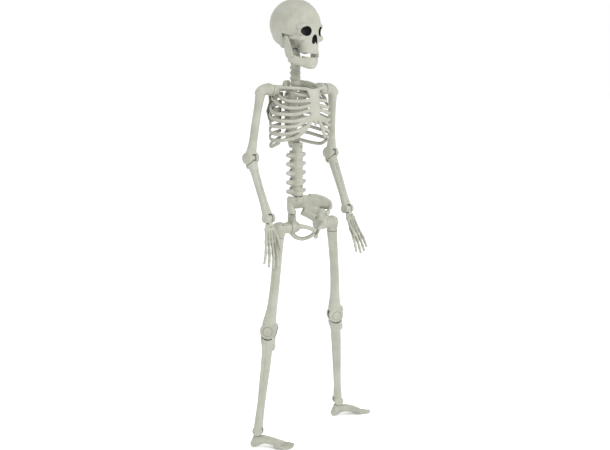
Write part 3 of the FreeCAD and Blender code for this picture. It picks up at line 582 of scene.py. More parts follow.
def build_jaw():
    opened = bpy.context.scene.skeleton_sizes.jaw_open
    matrix = Matrix.Translation(point("jaw_open")) @ Matrix.Rotation(opened, 4, "X")
    form = bmesh.new()
    branch = [(40, 0, 6, 3.4, 2.4), (40, -1, 1, 6.2, 2.8), (40, -5, -9, 9.0, 2.5),
              (39.8, -10, -20, 10.8, 2.5),
              (38.8, -14, -29, 11.2, 3.0), (36, -19, -36, 9.8, 3.6)]
    body = [(37.5, -15, -35, 9.5, 3.2), (32.5, -24, -38, 9.0, 3.8), (25.5, -32.5, -39.5, 9.0, 4.0),
            (16.5, -39.5, -41, 9.8, 4.2), (8.5, -43.2, -42, 10.6, 4.6)]
    for stations in (branch, on_side(-1, branch)):
        loft(form, stations, across=(0, 1, 0))
    arch = body + [(0, -44.4, -42.2, 10.8, 4.9)] + on_side(-1, body)[::-1]
    loft(form, smooth_path(arch, 3), across=(0, 0, 1))
    # chin and lower teeth
    egg(form, (0, -46.5, -47), (11, 5, 5))
    for n in range(12):
        turn = math.radians(-80 + 14.5 * n)
        egg(form, (17.6 * math.sin(turn), -29.5 - 15.4 * math.cos(turn), -31.2), (1.9, 2.1, 3.4))
    whole = mould(form, 0.95, 2, [single(rod, (-60, 0, 0), (60, 0, 0), 1.55)])
    put(whole, "jaw_shell", matrix, "jaw", "skull", ["jaw"])


def build_loop():
    loop = frame["nodes"]["hanging_loop"]
    loop.data.materials.clear()
    loop.data.materials.append(material("skull"))


def build_neck():
    matrix = Matrix.Translation(point("head_turn"))
    form = bmesh.new()
    low = (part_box("neck")[0][2] - point("head_turn").z) / TO_METRES
    top = -0.4
    count = 7
    pitch = (top - low) / count
    stations = []
    for n in range(count):
        base = low + n * pitch
        stations += [(0, 0, base + 0.0, 9.4, 9.2), (0, 0, base + pitch * 0.22, 10.9, 10.4),
                     (0, 0, base + pitch * 0.72, 10.5, 10.2), (0, 0, base + pitch * 0.94, 9.4, 9.2)]
    loft(form, stations, sides=36)
    for n in range(count):
        middle = low + (n + 0.5) * pitch
        for side in (-1, 1):
            egg(form, (side * 9.5, 3, middle - 0.5), (3.4, 3.0, 2.8), (0, side * 18, 0))
        egg(form, (0, 10.5, middle - 1.5), (2.4, 4.6, 2.6), (-24, 0, 0))
    whole = mould(form, 0.8, 2)
    combine(whole, single(rod, (0, 0, -4), (0, 0, 8.9), 5.95), "UNION")
    put(whole, "neck_shell", matrix, "torso", "bone", ["neck"])


# ----------------------------------------------------------------------------------------------
# Trunk
# ----------------------------------------------------------------------------------------------

def build_spine():
    """The loin part of the spine: five vertebrae that run together, each with two side processes and a
    spine behind, and the recess of a screw in two of them."""
    matrix = Matrix.Translation(point("waist_turn"))
    form = bmesh.new()
    pitch, first = 19.0, 9.0
    stations = [(0, 0, 0.4, 12.0, 11.5), (0, 0, 2, 12.8, 12.2)]
    for n in range(5):
        middle = first + n * pitch
        stations += [(0, 0, middle - 5.2, 13.2, 12.6), (0, 0, middle, 11.4, 11.0),
                     (0, 0, middle + 5.2, 13.2, 12.6),
                     (0, 0, middle + 9.4, 11.0, 10.6)]
    loft(form, stations + [(0, 0, 112, 12.4, 12)], sides=36)
    for n in range(5):
        middle = first + n * pitch
        for side in (-1, 1):
            loft(form, on_side(side, [(8, 1, middle + 0.5, 5.4, 6.0), (15, 2, middle + 1, 4.6, 5.8),
                                      (22, 3, middle + 1.5, 4.0, 5.2), (28.4, 4, middle + 2, 3.0, 3.8)]),
                 across=(0, 1, 0))
            egg(form, (side * 8, 11, middle + 6), (3.6, 3.6, 5.0))
        loft(form, [(0, 8, middle, 4, 6), (0, 15, middle - 2, 2.8, 5.6), (0, 21, middle - 4, 2.6, 4.6)])
    cuts = []
    for height in (20, 104):
        cuts.append(single(rod, (0, -30, height), (0, -10.2, height), 3.1))
    whole = mould(form, 1.0, 2, cuts)
    combine(whole, single(rod, (0, 0, -5), (0, 0, 15.5), 6.06))
    put_halves(whole, "spine", matrix, "torso", "bone")


RIB_TURNS = (10, 45, 80, 110, 140, 163)     # degrees round from the spine, where each rib's height is known


def rib_path(width, depth, centre_y, heights, top, joins):
    """Stations of one rib from the spine round towards the breastbone, each with how broad it is there:
    a rib that joins the breastbone is 1.6 times as broad near the spine."""
    points = []
    for turn, height in zip(RIB_TURNS, heights):
        x = math.sin(math.radians(turn)) * width
        y = centre_y + math.cos(math.radians(turn)) * depth
        points.append((x, y, top + height, 1.6 if joins and turn < 60 else 1.0))
    if joins:
        points.append((10, -49.5, top + heights[-1] + (heights[-1] - heights[-2]) * 0.2, 1.0))
    return smooth_path(points, 5)


def add_rib(form, path, flat, tall):
    """A rib whose thin side always faces out from the chest."""
    count = len(path)
    for side in (-1, 1):
        points = [Vector((side * x, y, z)) for x, y, z, _ in path]
        rings = []
        for n, here in enumerate(points):
            along = (points[min(n + 1, count - 1)] - points[max(n - 1, 0)]).normalized()
            out = Vector((here.x, here.y + 10, 0)).normalized()
            wide = (out - along * along.dot(out)).normalized()
            deep = along.cross(wide)
            turn = Matrix((wide, deep, along)).transposed().to_4x4()
            matrix = Matrix.Translation(here) @ turn @ Matrix.Diagonal((flat, tall * path[n][3], 1, 1))
            verts = bmesh.ops.create_circle(form, segments=14, radius=1, matrix=matrix)["verts"]
            rings.append([form.edges.get((verts[k - 1], verts[k])) for k in range(14)])
        for n in range(count - 1):
            bmesh.ops.bridge_loops(form, edges=rings[n] + rings[n + 1])
        for ring in (rings[0], rings[-1]):
            bmesh.ops.contextual_create(form, geom=ring)


def build_rib_cage():
    matrix = Matrix.Translation(point("waist_turn"))
    sizes = bpy.context.scene.skeleton_sizes
    flat = sizes.rib_thickness / TO_METRES / 2
    tall = sizes.rib_height / TO_METRES / 2
    shoulder = (point("right_shoulder_swing").z - point("waist_turn").z) / TO_METRES
    form = bmesh.new()
    # width, depth and middle, then the heights under the shoulder axis, and whether it joins the breastbone
    ribs = (
        (46, 30, -14, (14, 13, 9, -3.5, -10.5, -12.5), True),
        (66, 38, -12, (4, 2, -8, -20.5, -23, -21.3), True),
        (74, 41, -10, (-10, -12, -20, -33, -36.3, -32.5), True),
        (78, 43, -9, (-26, -31, -44, -48.5, -48.6, -42.5), True),
        (79, 43, -8, (-41, -46, -56, -62, -62.5, -56), True),
        (79, 43, -8, (-56, -62, -72, -74, -73, -62), True),
        (79, 43, -7, (-71, -77, -86, -89.5, -85, -74), False),
        (78, 42, -6, (-85, -91, -100, -102, -97), False),
        (76, 40, -4, (-98, -110, -115, -106), False),
    )
    for width, depth, centre_y, heights, joins in ribs:
        add_rib(form, rib_path(width, depth, centre_y, heights, shoulder, joins), flat, tall)
    # breastbone with its sword-shaped tip
    plate = [(0, -45, shoulder + 2, 20, 4), (0, -46, shoulder - 4, 19, 4.6),
             (0, -48.5, shoulder - 14, 14.5, 4.4),
             (0, -50, shoulder - 28, 14.5, 4.2), (0, -51, shoulder - 44, 15, 4.2),
             (0, -51.5, shoulder - 54, 14, 4.0),
             (0, -52, shoulder - 61, 9.5, 3.6), (0, -52, shoulder - 67, 4.2, 3.0),
             (0, -52, shoulder - 73, 1.8, 2.0)]
    loft(form, plate, sides=28)
    for side in (-1, 1):
        # collar bone, an S from the top of the breastbone to the tip of the shoulder
        collar = on_side(side, [(6, -44, shoulder - 2, 4.6, 4.4), (20, -43, shoulder + 2, 3.8, 3.9),
                                (38, -36, shoulder + 4, 3.7, 3.7), (56, -22, shoulder + 5, 3.9, 3.7),
                                (70, -9, shoulder + 6, 4.6, 3.8), (77, 0, shoulder + 6, 5.5, 4.2)])
        loft(form, smooth_path(collar, 3), across=(0, 0, 1))
        # the costal margin, from the breastbone out and down to the lowest ribs
        margin = on_side(side, [(8, -51, shoulder - 57, 4.2, 3.2), (18, -49.5, shoulder - 70, 4.6, 3.0),
                                (29, -46, shoulder - 82, 5.2, 3.0),
                                (40, -39.5, shoulder - 92, 5.4, 3.0),
                                (52, -31, shoulder - 99, 4.6, 3.0)])
        loft(form, smooth_path(margin, 3), across=(0, 0, 1))
        # shoulder blade: a thin leaf behind the ribs, its spine and its socket
        blade = on_side(side, [(48, 22, shoulder + 2, 14, 2.4), (45, 26, shoulder - 12, 14, 2.6),
                               (44, 29, shoulder - 28, 12, 2.6), (49, 33, shoulder - 44, 10.5, 2.4),
                               (47, 34, shoulder - 58, 6.0, 2.2), (46, 34, shoulder - 66, 2.5, 1.8)])
        loft(form, blade, across=(1, 0, 0))
        ridge = on_side(side, [(40, 32, shoulder - 12, 3, 3), (56, 31, shoulder - 4, 3.4, 4),
                               (70, 24, shoulder + 5, 4, 4.5), (78, 12, shoulder + 9, 5, 4.4),
                               (79, 0, shoulder + 9.5, 4.5, 3.6)])
        loft(form, smooth_path(ridge, 2), across=(0, 0, 1))
        loft(form, on_side(side, [(60, 2, shoulder, 9, 9), (68, -1, shoulder, 10.8, 10.8),
                                  (81.6, -2, shoulder, 11.8, 11.8)]), across=(0, 0, 1), sides=32)
        loft(form, on_side(side, [(64, 22, shoulder - 4, 5, 8), (66, 10, shoulder - 2, 7, 8),
                                  (67, 0, shoulder, 8, 9)]), across=(1, 0, 0))
    # the upper spine, with a process behind each rib
    pitch = 15.8
    column = []
    for n in range(8):
        middle = shoulder + 1 - pitch * n
        column += [(0, 14, middle + 5.8, 9.6, 9.2), (0, 14, middle + 3, 11.2, 10.6),
                   (0, 14, middle - 3, 11.0, 10.4)]
    column = [(0, 14, shoulder + 7.6, 10.0, 9.6)] + column + [(0, 10, 113.5, 10.6, 10.2),
                                                              (0, 2, 112.4, 10.8, 10.4)]
    loft(form, column, sides=28)
    for n in range(7):
        middle = shoulder - 1 - pitch * n
        loft(form, [(0, 20, middle, 3.4, 5), (0, 28, middle - 5, 2.6, 4.6), (0, 35, middle - 10, 2.4, 3.4)])
        for side in (-1, 1):
            loft(form, on_side(side, [(6, 17, middle + 1, 4, 4.4), (14, 22, middle + 2, 3.2, 3.6),
                                      (21, 25, middle + 1, 3.2, 3.2)]), across=(0, 0, 1))
    whole = mould(form, 1.15, 2)
    for side in (-1, 1):
        combine(whole, single(slab, (side * 122, -2, shoulder), (80, 80, 60)))
    put_halves(whole, "rib_cage", matrix, "torso", "bone", plane=-15.0)


def build_pelvis():
    """The hip ring: two broad flared wings, the sacrum between them, the ring with its openings and a
    boss at each hip."""
    matrix = Matrix.Translation((point("right_hip_swing") + point("left_hip_swing")) / 2)
    form = bmesh.new()
    back = (point("waist_turn") - matrix.to_translation()) / TO_METRES
    for side in (-1, 1):
        # the bowl: an upper band out to the crest, and a lower one that runs in to the hip
        upper = on_side(side, [(0, 26, 47, 9, 5), (20, 23, 48, 11, 4.4), (36, 16, 48, 12.5, 3.6),
                               (50, 5, 45, 14, 3.2), (58, -9, 39, 12, 3.2), (59, -15, 34, 7, 3.2)])
        loft(form, smooth_path(upper, 3), across=(0, 0, 1))
        lower = on_side(side, [(0, 26, 42, 5, 4.4), (18, 24, 39, 7, 4.6), (31, 17, 30, 12, 4.8),
                               (41, 8, 20, 16, 5), (46, -3, 19, 15, 5), (52, -10, 25, 10, 4.2)])
        loft(form, smooth_path(lower, 3), across=(0, 0, 1))
        egg(form, (side * 43, 1, 12), (9, 9.5, 14))
        rim = on_side(side, [(12, 25, 56, 3.6, 3.6), (24, 22, 58, 3.6, 3.6), (38, 14.5, 59, 3.6, 3.6),
                             (50, 4, 56, 3.6, 3.6), (58.5, -8, 49, 3.6, 3.6), (60, -15, 40, 3.6, 3.6),
                             (57, -16, 31, 4, 4), (50, -11, 19, 6, 5)])
        loft(form, smooth_path(rim, 3), across=(0, 0, 1))
        boss = on_side(side, [(30, 0, 0, 11, 11), (42, 0, 0, 12.5, 12.5), (53.6, 0, 0, 12.8, 12.8)])
        loft(form, boss, across=(0, 0, 1), sides=36)
        # the ring: pubic branch in front, seat bone below
        pubic = on_side(side, [(40, -6, 2, 6, 6), (28, -17, 1, 4.6, 4.6), (15, -25, -3, 4.4, 4.4),
                               (3, -28, -9, 5.4, 4.6)])
        loft(form, smooth_path(pubic, 3), across=(0, 0, 1))
        seat = on_side(side, [(42, 3, -6, 6.5, 6.5), (38, 4, -15, 5.4, 5.6), (30, 1, -23, 4.6, 4.8),
                              (20, -8, -26, 4.2, 4.6), (11, -18, -22, 4.0, 4.4),
                              (3, -25, -15, 4.2, 4.4)])
        loft(form, smooth_path(seat, 3), across=(0, 0, 1))
        # from the wing back to the sacrum
        loft(form, on_side(side, [(34, 6, 12, 9, 7), (26, 17, 20, 9, 6), (14, 24, 28, 10, 6)]),
             across=(0, 0, 1))
    sacrum = [(0, back.y, back.z - 1.6, 13, 12.4), (0, back.y, back.z - 10, 14.5, 12),
              (0, back.y + 1, back.z - 16, 21, 10), (0, back.y + 2, 38, 18, 6.5),
              (0, back.y + 3, 34, 13, 4.5)]
    loft(form, sacrum, sides=32)
    whole = mould(form, 1.15, 3)
    for side in (-1, 1):
        combine(whole, single(slab, (side * 94, 0, 0), (80, 60, 60)))
    combine(whole, single(slab, (0, back.y, back.z + 19.8), (60, 60, 40)))
    put_halves(whole, "pelvis", matrix, "pelvis", "bone")


# ----------------------------------------------------------------------------------------------
# Arms
# ----------------------------------------------------------------------------------------------

def local(matrix, joint):
    """A joint's place in a bone's frame, in millimetres."""
    return (matrix.inverted() @ point(joint)) / TO_METRES


def build_upper_arm(side):
    s = SIDES[side]
    matrix = bone_frame(side + "_shoulder_swing", side + "_elbow_bend", -axis(side + "_shoulder_swing"))
    elbow = local(matrix, side + "_elbow_bend")
    mid = bpy.context.scene.skeleton_sizes.arm_bone / TO_METRES
    form = bmesh.new()
    head = on_side(s, [(-26, 0, 1.5, 11.8, 11.6), (-18, 0, 1.8, 11.9, 11.6), (-8, 0, 0.8, 11.4, 11.4),
                       (1, 0, -2.8, 10.4, 10.8), (7, 0, -7, 8.2, 9.2), (10.5, 0, -11, 4.6, 5.4)])
    loft(form, smooth_path(head, 2), across=(0, 0, 1), sides=32)
    egg(form, (s * 4.5, -5.5, -5.5), (6.4, 6.0, 8.0))
    x = elbow.x
    length = -elbow.z
    shaft = [(0, 0, 0, 9.5, 9.8), (s * 2.0, 0, -10, 10.2, 10.2), (s * 3.4, 0.2, -24, 8.9, 9.2),
             (s * 5.5, 0.6, -44, 8.2, 8.4), (s * 8.0, 0.6, -70, mid * 0.98, mid),
             (s * 10.6, 0, -96, mid * 0.97, mid),
             (s * 12.4, -0.6, -112, mid * 1.10, mid * 1.02), (x, -0.4, -length + 15, 11.2, 9.4),
             (x, 0, -length + 7, 12.4, 9.6), (x, 0, -length, 12.2, 9.0)]
    loft(form, smooth_path(shaft, 2), sides=28)
    hinge_fork(form, (x, 0, -length), ELBOW_RADIUS, ELBOW_WIDTH, CHEEK_GAP)
    # the knuckles beside the hinge, the inner one the larger
    egg(form, (x - s * 11.2, 1.5, -length + 5), (3.6, 6.5, 7.0))
    egg(form, (x + s * 11.0, 0.5, -length + 4), (3.2, 6.0, 6.5))
    whole = mould(form, 1.0, 3, [slot_cut((x, 0, -length), ELBOW_RADIUS, SLOT)])
    reach = ELBOW_WIDTH / 2 - PIN_COVER
    combine(whole, single(rod, (x - reach, 0, -length), (x + reach, 0, -length), PIN_HOLE))
    combine(whole, single(slab, (-s * 46, 0, 0), (40, 60, 60)))
    body = side + "_upper_arm"
    put_halves(whole, body, matrix, body, "bone")


def build_forearm(side):
    s = SIDES[side]
    matrix = bone_frame(side + "_elbow_bend", side + "_wrist_bend", -axis(side + "_elbow_bend"))
    wrist = local(matrix, side + "_wrist_bend")
    x, length = wrist.x, -wrist.z
    form = bmesh.new()
    head = on_side(s, [(0, 0, -8, 11.6, 9.8), (0, 0, -18, 10.8, 9.8), (-0.5, 0, -28, 9.4, 9.2)])
    loft(form, head, sides=32)
    # ulna and radius run side by side, with a groove between them
    ulna = [(-s * 4.2, 1.0, -20, 6.0, 7.6), (-s * 4.4, 1.0, -40, 5.0, 6.8), (-s * 4.2, 0.6, -70, 4.8, 6.2),
            (-s * 4.0 + x * 0.6, 0, -98, 5.2, 6.0), (-s * 4.4 + x, 0, -length + 12, 6.4, 6.6),
            (-s * 4.4 + x, 0, -length + 3, 6.4, 6.6)]
    radius = [(s * 3.8, -1.0, -20, 6.4, 7.4), (s * 4.2, -1.2, -40, 5.4, 6.8),
              (s * 4.4, -1.0, -70, 5.2, 6.4),
              (s * 4.2 + x * 0.6, -0.6, -98, 5.6, 6.4), (s * 4.6 + x, 0, -length + 12, 7.0, 7.4),
              (s * 4.6 + x, 0, -length + 3, 7.0, 7.4)]
    for stations in (ulna, radius):
        loft(form, smooth_path(stations, 2), sides=24)
    hinge_fork(form, (x, 0, -length), WRIST_RADIUS, WRIST_WIDTH, CHEEK_GAP)
    egg(form, (x + s * 8.6, -1, -length - 1), (3.6, 6.2, 8.2))
    # tip of the elbow, behind
    egg(form, (-s * 1, 13.0, -11), (6.5, 4.2, 8.0), (12, 0, 0))
    whole = mould(form, 1.0, 3, [saddle_cut(13.6), slot_cut((x, 0, -length), WRIST_RADIUS, SLOT)])
    join_tongue(whole, 9.36, 56, -11.5, 12.0, 21.0)
    for middle, z, reach in ((0, 0, PAST_TONGUE), (x, -length, WRIST_WIDTH / 2 - PIN_COVER)):
        combine(whole, single(rod, (middle - reach, 0, z), (middle + reach, 0, z), PIN_HOLE))
    body = side + "_forearm"
    put_halves(whole, body, matrix, body, "bone")


FINGERS = ((0.92, 6), (1.0, 1), (0.93, -5), (0.78, -12))
FINGER_LENGTH = 55.0
PALM = 32.0


def finger(form, start, tip, thick, bones, end=0.42):
    """A chain of finger bones: each waisted between two knuckles."""
    a, b = Vector(start), Vector(tip)
    stations = []
    done = 0.0
    for n, share in enumerate(bones):
        size = thick * (1 - 0.10 * n)
        for t, swell in ((0.02, 1.12), (0.16, 1.05), (0.5, 0.78), (0.84, 0.98), (0.97, 1.06)):
            place = a.lerp(b, done + share * t)
            stations.append((place.x, place.y, place.z, size * swell, size * swell * 0.92))
        done += share
    stations.append((b.x, b.y, b.z, thick * end, thick * end * 0.9))
    loft(form, stations, sides=14)


def build_hand(side):
    s = SIDES[side]
    sizes = bpy.context.scene.skeleton_sizes
    lean = sizes.right_hand_forward if side == "right" else sizes.left_hand_forward
    matrix = Matrix.Translation(point(side + "_wrist_bend")) @ Matrix.Rotation(-lean, 4, "X")
    inward = -s
    form = bmesh.new()
    # the wrist: two rows of small bones
    for z, xs in ((-14.5, (-6.5, 0, 6.5)), (-21.5, (-10, -3.4, 3.4, 10))):
        for n, x in enumerate(xs):
            egg(form, (x, -0.6 + 0.8 * (n % 2), z), (4.3, 4.0, 4.4))
    knuckle = -47.5
    for n, (share, fan) in enumerate(FINGERS):
        root_x = inward * PALM * (0.30 - 0.20 * n)
        x = inward * PALM * (0.375 - 0.25 * n)
        metacarpal = [(root_x, 0, -24, 3.6, 3.6), (root_x * 0.6 + x * 0.4, -0.4, -31, 2.7, 3.0),
                      (root_x * 0.2 + x * 0.8, -0.4, -40, 2.7, 3.0), (x, 0, knuckle + 2, 3.7, 3.6)]
        loft(form, smooth_path(metacarpal, 2), sides=18)
        reach = FINGER_LENGTH * share
        tip = (x + inward * reach * math.sin(math.radians(fan)), 1.6, knuckle - reach)
        middle = (x + inward * reach * 0.5 * math.sin(math.radians(fan)), -1.2, knuckle - reach * 0.5)
        finger(form, (x, 0, knuckle + 2.5), middle, 3.5, (0.96,), 0.95)
        finger(form, middle, tip, 3.15, (0.5, 0.5))
    root = Vector((inward * 12.0, -2, -23))
    joint_of_thumb = Vector((inward * 16.0, -6, -43))
    tip = Vector((inward * 16.5, -11, -66))
    finger(form, root, joint_of_thumb, 3.4, (0.97,), 0.95)
    finger(form, joint_of_thumb, tip, 3.0, (0.55, 0.45))
    # the web of plastic that ties the bones of the palm together
    web = [(0, 0.6, -14, 8, 1.8), (0, 0.6, -22, 13, 1.8), (0, 0.6, -32, 13.5, 1.5), (0, 0.6, -42, 14, 1.3)]
    loft(form, web, sides=28)
    loft(form, [(inward * 8, -1.5, -20, 4, 1.6), (inward * 14.5, -4, -31, 3.4, 1.5),
                (inward * 14.5, -4, -38, 2, 1.2)])
    whole = mould(form, 0.85, 1, [saddle_cut(10.6)])
    join_tongue(whole, 7.2, 48, -8.5, 9.0, 15.0)
    combine(whole, single(rod, (-THROUGH, 0, 0), (THROUGH, 0, 0), PIN_HOLE))
    put(whole, side + "_hand_shell", matrix, side + "_hand", "bone", [side + "_hand"])


# ----------------------------------------------------------------------------------------------
# Legs
# ----------------------------------------------------------------------------------------------

def build_hip_neck(side):
    s = SIDES[side]
    corner = point(side + "_hip_swing")
    down = axis(side + "_thigh_turn")
    swing = math.atan2(down.y, -down.z)
    matrix = Matrix.Translation(corner) @ Matrix.Rotation(swing, 4, "X")
    way = matrix.to_3x3().inverted() @ down
    form = bmesh.new()
    neck = on_side(s, [(-26, 0, 0, 11.9, 11.9), (-18, 0, 0, 11.4, 11.4), (-9, 0, 0, 11.4, 11.6),
                       (0, 0, 0, 13, 13)])
    loft(form, neck, across=(0, 0, 1), sides=36)
    egg(form, (0, 0, 0), (14.2, 14.2, 14.2))
    egg(form, (s * 4, 3, 4.5), (9, 9.5, 9))
    egg(form, (s * 7.5, -1, -4), (7.0, 9.0, 9))
    end = way * 18.6
    loft(form, [(0, 0, 0, 12.6, 12.6), (way.x * 9, way.y * 9, way.z * 9, 12.2, 12.2),
                (end.x, end.y, end.z, 11.0, 11.0)], sides=32)
    whole = mould(form, 1.05, 3)
    # the notch over the knob
    combine(whole, single(slab, (s * 3.5, -13.5, 11.5), (3.4, 8, 9), (0, s * 24, 0)))
    combine(whole, single(rod, tuple(way * 12), tuple(way * 42.8), 6.45), "UNION")
    combine(whole, single(slab, (-s * 46, 0, 0), (40, 60, 60)))
    put(whole, side + "_hip_shell", matrix, side + "_hip", "bone", [side + "_hip_neck"])


def build_thigh(side):
    matrix = bone_frame(side + "_hip_swing", side + "_knee_bend", axis(side + "_knee_bend"))
    length = -local(matrix, side + "_knee_bend").z
    mid = bpy.context.scene.skeleton_sizes.leg_bone / TO_METRES
    form = bmesh.new()
    shaft = [(0, 0, -16, 11.4, 11.4), (0, 0, -22, 11.2, 11.2), (0, 0, -34, 10.4, 10.6),
             (0, -1.2, -60, mid * 1.02, mid * 1.06),
             (0, -2.2, -100, mid * 0.97, mid * 1.03), (0, -2.2, -140, mid * 1.0, mid * 1.06),
             (0, -1.2, -168, mid * 1.10, mid * 1.16), (0, 0, -186, 10.9, 13.2), (0, 0.4, -200, 11.2, 15.2),
             (0, 0, -length, 11.2, 15.6)]
    loft(form, smooth_path(shaft, 2), sides=32)
    hinge_fork(form, (0, 0, -length), KNEE_RADIUS, KNEE_WIDTH, CHEEK_GAP)
    # kneecap in front, and the two knuckles
    egg(form, (0, -13.4, -length + 9), (9.2, 5.6, 10.0), (10, 0, 0))
    for way in (-1, 1):
        egg(form, (way * 8.2, 4.6, -length + 3), (4.6, 12.4, 12.0))
    whole = mould(form, 1.1, 3, [slot_cut((0, 0, -length), KNEE_RADIUS, SLOT)])
    reach = KNEE_WIDTH / 2 - PIN_COVER
    combine(whole, single(rod, (-reach, 0, -length), (reach, 0, -length), KNEE_PIN_HOLE))
    # a round line on the outside of each cheek
    for way in (-1, 1):
        circle = [(way * 11.9, 9.7 * math.cos(n * math.pi / 24), -length + 9.7 * math.sin(n * math.pi / 24),
                   0.9, 0.45)
                  for n in range(48)]
        rim = bmesh.new()
        loft(rim, circle, across=(1, 0, 0), sides=8, closed=True)
        bmesh.ops.recalc_face_normals(rim, faces=rim.faces)
        combine(whole, rim)
    combine(whole, single(slab, (0, 0, -4), (60, 60, 30)))
    combine(whole, single(rod, (0, 0, -10), (0, 0, -44), 6.56))
    body = side + "_thigh"
    put_halves(whole, body, matrix, body, "bone")


def build_shin(side):
    s = SIDES[side]
    matrix = bone_frame(side + "_knee_bend", side + "_ankle_bend", axis(side + "_knee_bend"))
    length = -local(matrix, side + "_ankle_bend").z
    form = bmesh.new()
    head = [(0, 0, -9, 13.2, 15.6), (0, -0.5, -19, 13.6, 15.6), (0, -0.8, -26, 12.2, 13.4),
            (0, -1, -42, 9.4, 10.4)]
    loft(form, smooth_path(head, 2), sides=36)
    egg(form, (0, -13, -29), (5.5, 4.5, 9))
    # shin bone with its sharp front edge, and the thin bone on its outer side
    tibia = on_side(s, [(0, -1, -36, 10.0, 10.8), (-0.8, -1.6, -60, 8.4, 9.8),
                        (-1.4, -1.4, -100, 7.6, 8.8), (-1.2, -0.6, -140, 7.4, 8.2),
                        (-0.6, 0, -172, 8.4, 8.6), (0, 0, -length + 10, 10.4, 9.4),
                        (0, 0, -length, 10.8, 8.4)])
    fibula = on_side(s, [(9.2, 5.5, -24, 4.0, 4.6), (8.8, 5.0, -38, 3.0, 3.4),
                         (7.6, 4.2, -70, 2.8, 3.2), (7.2, 3.6, -110, 2.8, 3.2),
                         (7.8, 2.6, -150, 3.0, 3.3), (8.6, 1.2, -180, 3.6, 4.2),
                         (9.4, 0.4, -length + 2, 3.4, 6.2), (9.2, 0.2, -length - 6, 2.6, 4.4)])
    loft(form, smooth_path(tibia, 2), sides=32)
    loft(form, smooth_path(fibula, 2), sides=18)
    hinge_fork(form, (0, 0, -length), ANKLE_RADIUS, ANKLE_WIDTH, CHEEK_GAP)
    whole = mould(form, 1.05, 3, [saddle_cut(17.6), slot_cut((0, 0, -length), ANKLE_RADIUS, SLOT)])
    join_tongue(whole, 12.24, 64, -14, 16.0, 26.0)
    for z, reach, hole in ((0, PAST_TONGUE, KNEE_PIN_HOLE),
                           (-length, ANKLE_WIDTH / 2 - PIN_COVER, PIN_HOLE)):
        combine(whole, single(rod, (-reach, 0, z), (reach, 0, z), hole))
    body = side + "_shin"
    put_halves(whole, body, matrix, body, "bone")


def build_foot(side):
    s = SIDES[side]
    ankle = point(side + "_ankle_bend")
    across = axis(side + "_ankle_bend")
    heading = math.atan2(across.y, across.x)
    matrix = Matrix.Translation((ankle.x, ankle.y, 0)) @ Matrix.Rotation(heading, 4, "Z")
    form = bmesh.new()
    # heel, ankle block and the arch of the instep
    heel = on_side(s, [(0, 11.5, 8, 6.5, 6.5), (0, 8.5, 9, 9.6, 8.6), (0, 3, 12.5, 10.2, 11),
                       (0, -5, 15.5, 10.4, 10.2), (-1.0, -15, 15.5, 11.6, 8.4),
                       (-1.5, -27, 13.0, 13.6, 6.8), (-1.5, -40, 10.0, 15.4, 5.8),
                       (-1.5, -50, 7.6, 15.6, 5.2)])
    loft(form, smooth_path(heel, 2), sides=32)
    egg(form, (0, 1, 20), (9.0, 9.5, 9))
    egg(form, (0, 9, 7), (9.2, 7.2, 7.0))
    egg(form, (-s * 11, -48, 6.6), (6.8, 7.5, 6.2))
    egg(form, (s * 10.5, -42, 5.6), (5.4, 8, 5.2))
    toes = ((-10.6, -51, -73.5, 4.9), (-3.4, -52, -72.5, 3.7), (2.6, -51, -70, 3.5), (8.2, -48.5, -66, 3.3),
            (13.2, -45.5, -60.5, 3.1))
    for x, root, tip, thick in toes:
        lift = thick * 0.98
        # the long bone of each toe shows as a ridge over the instep
        loft(form, smooth_path([(s * x * 0.62, -22, 18.6, thick * 0.60, 3.2),
                                (s * x * 0.82, -35, 14.2, thick * 0.62, 3.2),
                                (s * x, -46, 10.2, thick * 0.84, 3.2), (s * x, root, 7.0, thick, thick)],
                                2), sides=16)
        span = root - tip
        loft(form, [(s * x, root + 2, lift + 1.6, thick, thick),
                    (s * x, root - span * 0.25, lift + 1.6, thick * 0.80, thick * 0.82),
                    (s * x, root - span * 0.50, lift + 1.0, thick * 0.96, thick * 0.98),
                    (s * x, root - span * 0.68, lift + 0.2, thick * 0.82, thick * 0.82),
                    (s * x, root - span * 0.90, lift, thick * 0.92, thick * 0.90),
                    (s * x, tip - 0.6, lift, thick * 0.5, thick * 0.5)], sides=16)
    turned = Matrix.Translation((0, 0, ankle.z / TO_METRES)) @ (
        Matrix.Rotation(-heading, 4, "Z") @ hinge_turn(side)).to_4x4()
    arch = single(egg, (-s * 9, -22, -3.4), (13, 14, 6))
    saddle = saddle_cut(11.1)
    saddle.transform(turned)
    sole = single(slab, (0, -30, -10), (100, 160, 20))
    whole = mould(form, 0.95, 2, [arch, saddle, sole])
    join_tongue(whole, 7.56, 48, -8.5, 9.8, 15.0, turned)
    pin = single(rod, (-THROUGH, 0, 0), (THROUGH, 0, 0), PIN_HOLE)
    pin.transform(turned)
    combine(whole, pin)
    put(whole, side + "_foot_shell", matrix, side + "_foot", "bone", [side + "_foot"])


def hinge_turn(side):
    """The turn of the shin at its ankle."""
    x = axis(side + "_ankle_bend")
    z = point(side + "_knee_bend") - point(side + "_ankle_bend")
    z = (z - x * z.dot(x)).normalized()
    return Matrix((x, z.cross(x), z)).transposed().to_4x4()


def paint_pins():
    """The steel pins, screws and axles keep their CAD shapes."""
    for name, node in frame["nodes"].items():
        if name.endswith(("_pin", "_pins", "_screws", "_axle")):
            node.data.materials.clear()
            node.data.materials.append(material("pin"))


# ----------------------------------------------------------------------------------------------
# Stage
# ----------------------------------------------------------------------------------------------

CAMERA_FROM_WAIST = Vector((-1.8461, -1.7255, 0.2570))
CAMERA_HEADING = 47.3       # degrees of turn from +Y towards +X
CAMERA_PITCH = 7.19         # degrees down
CAMERA_LENS = 71.2


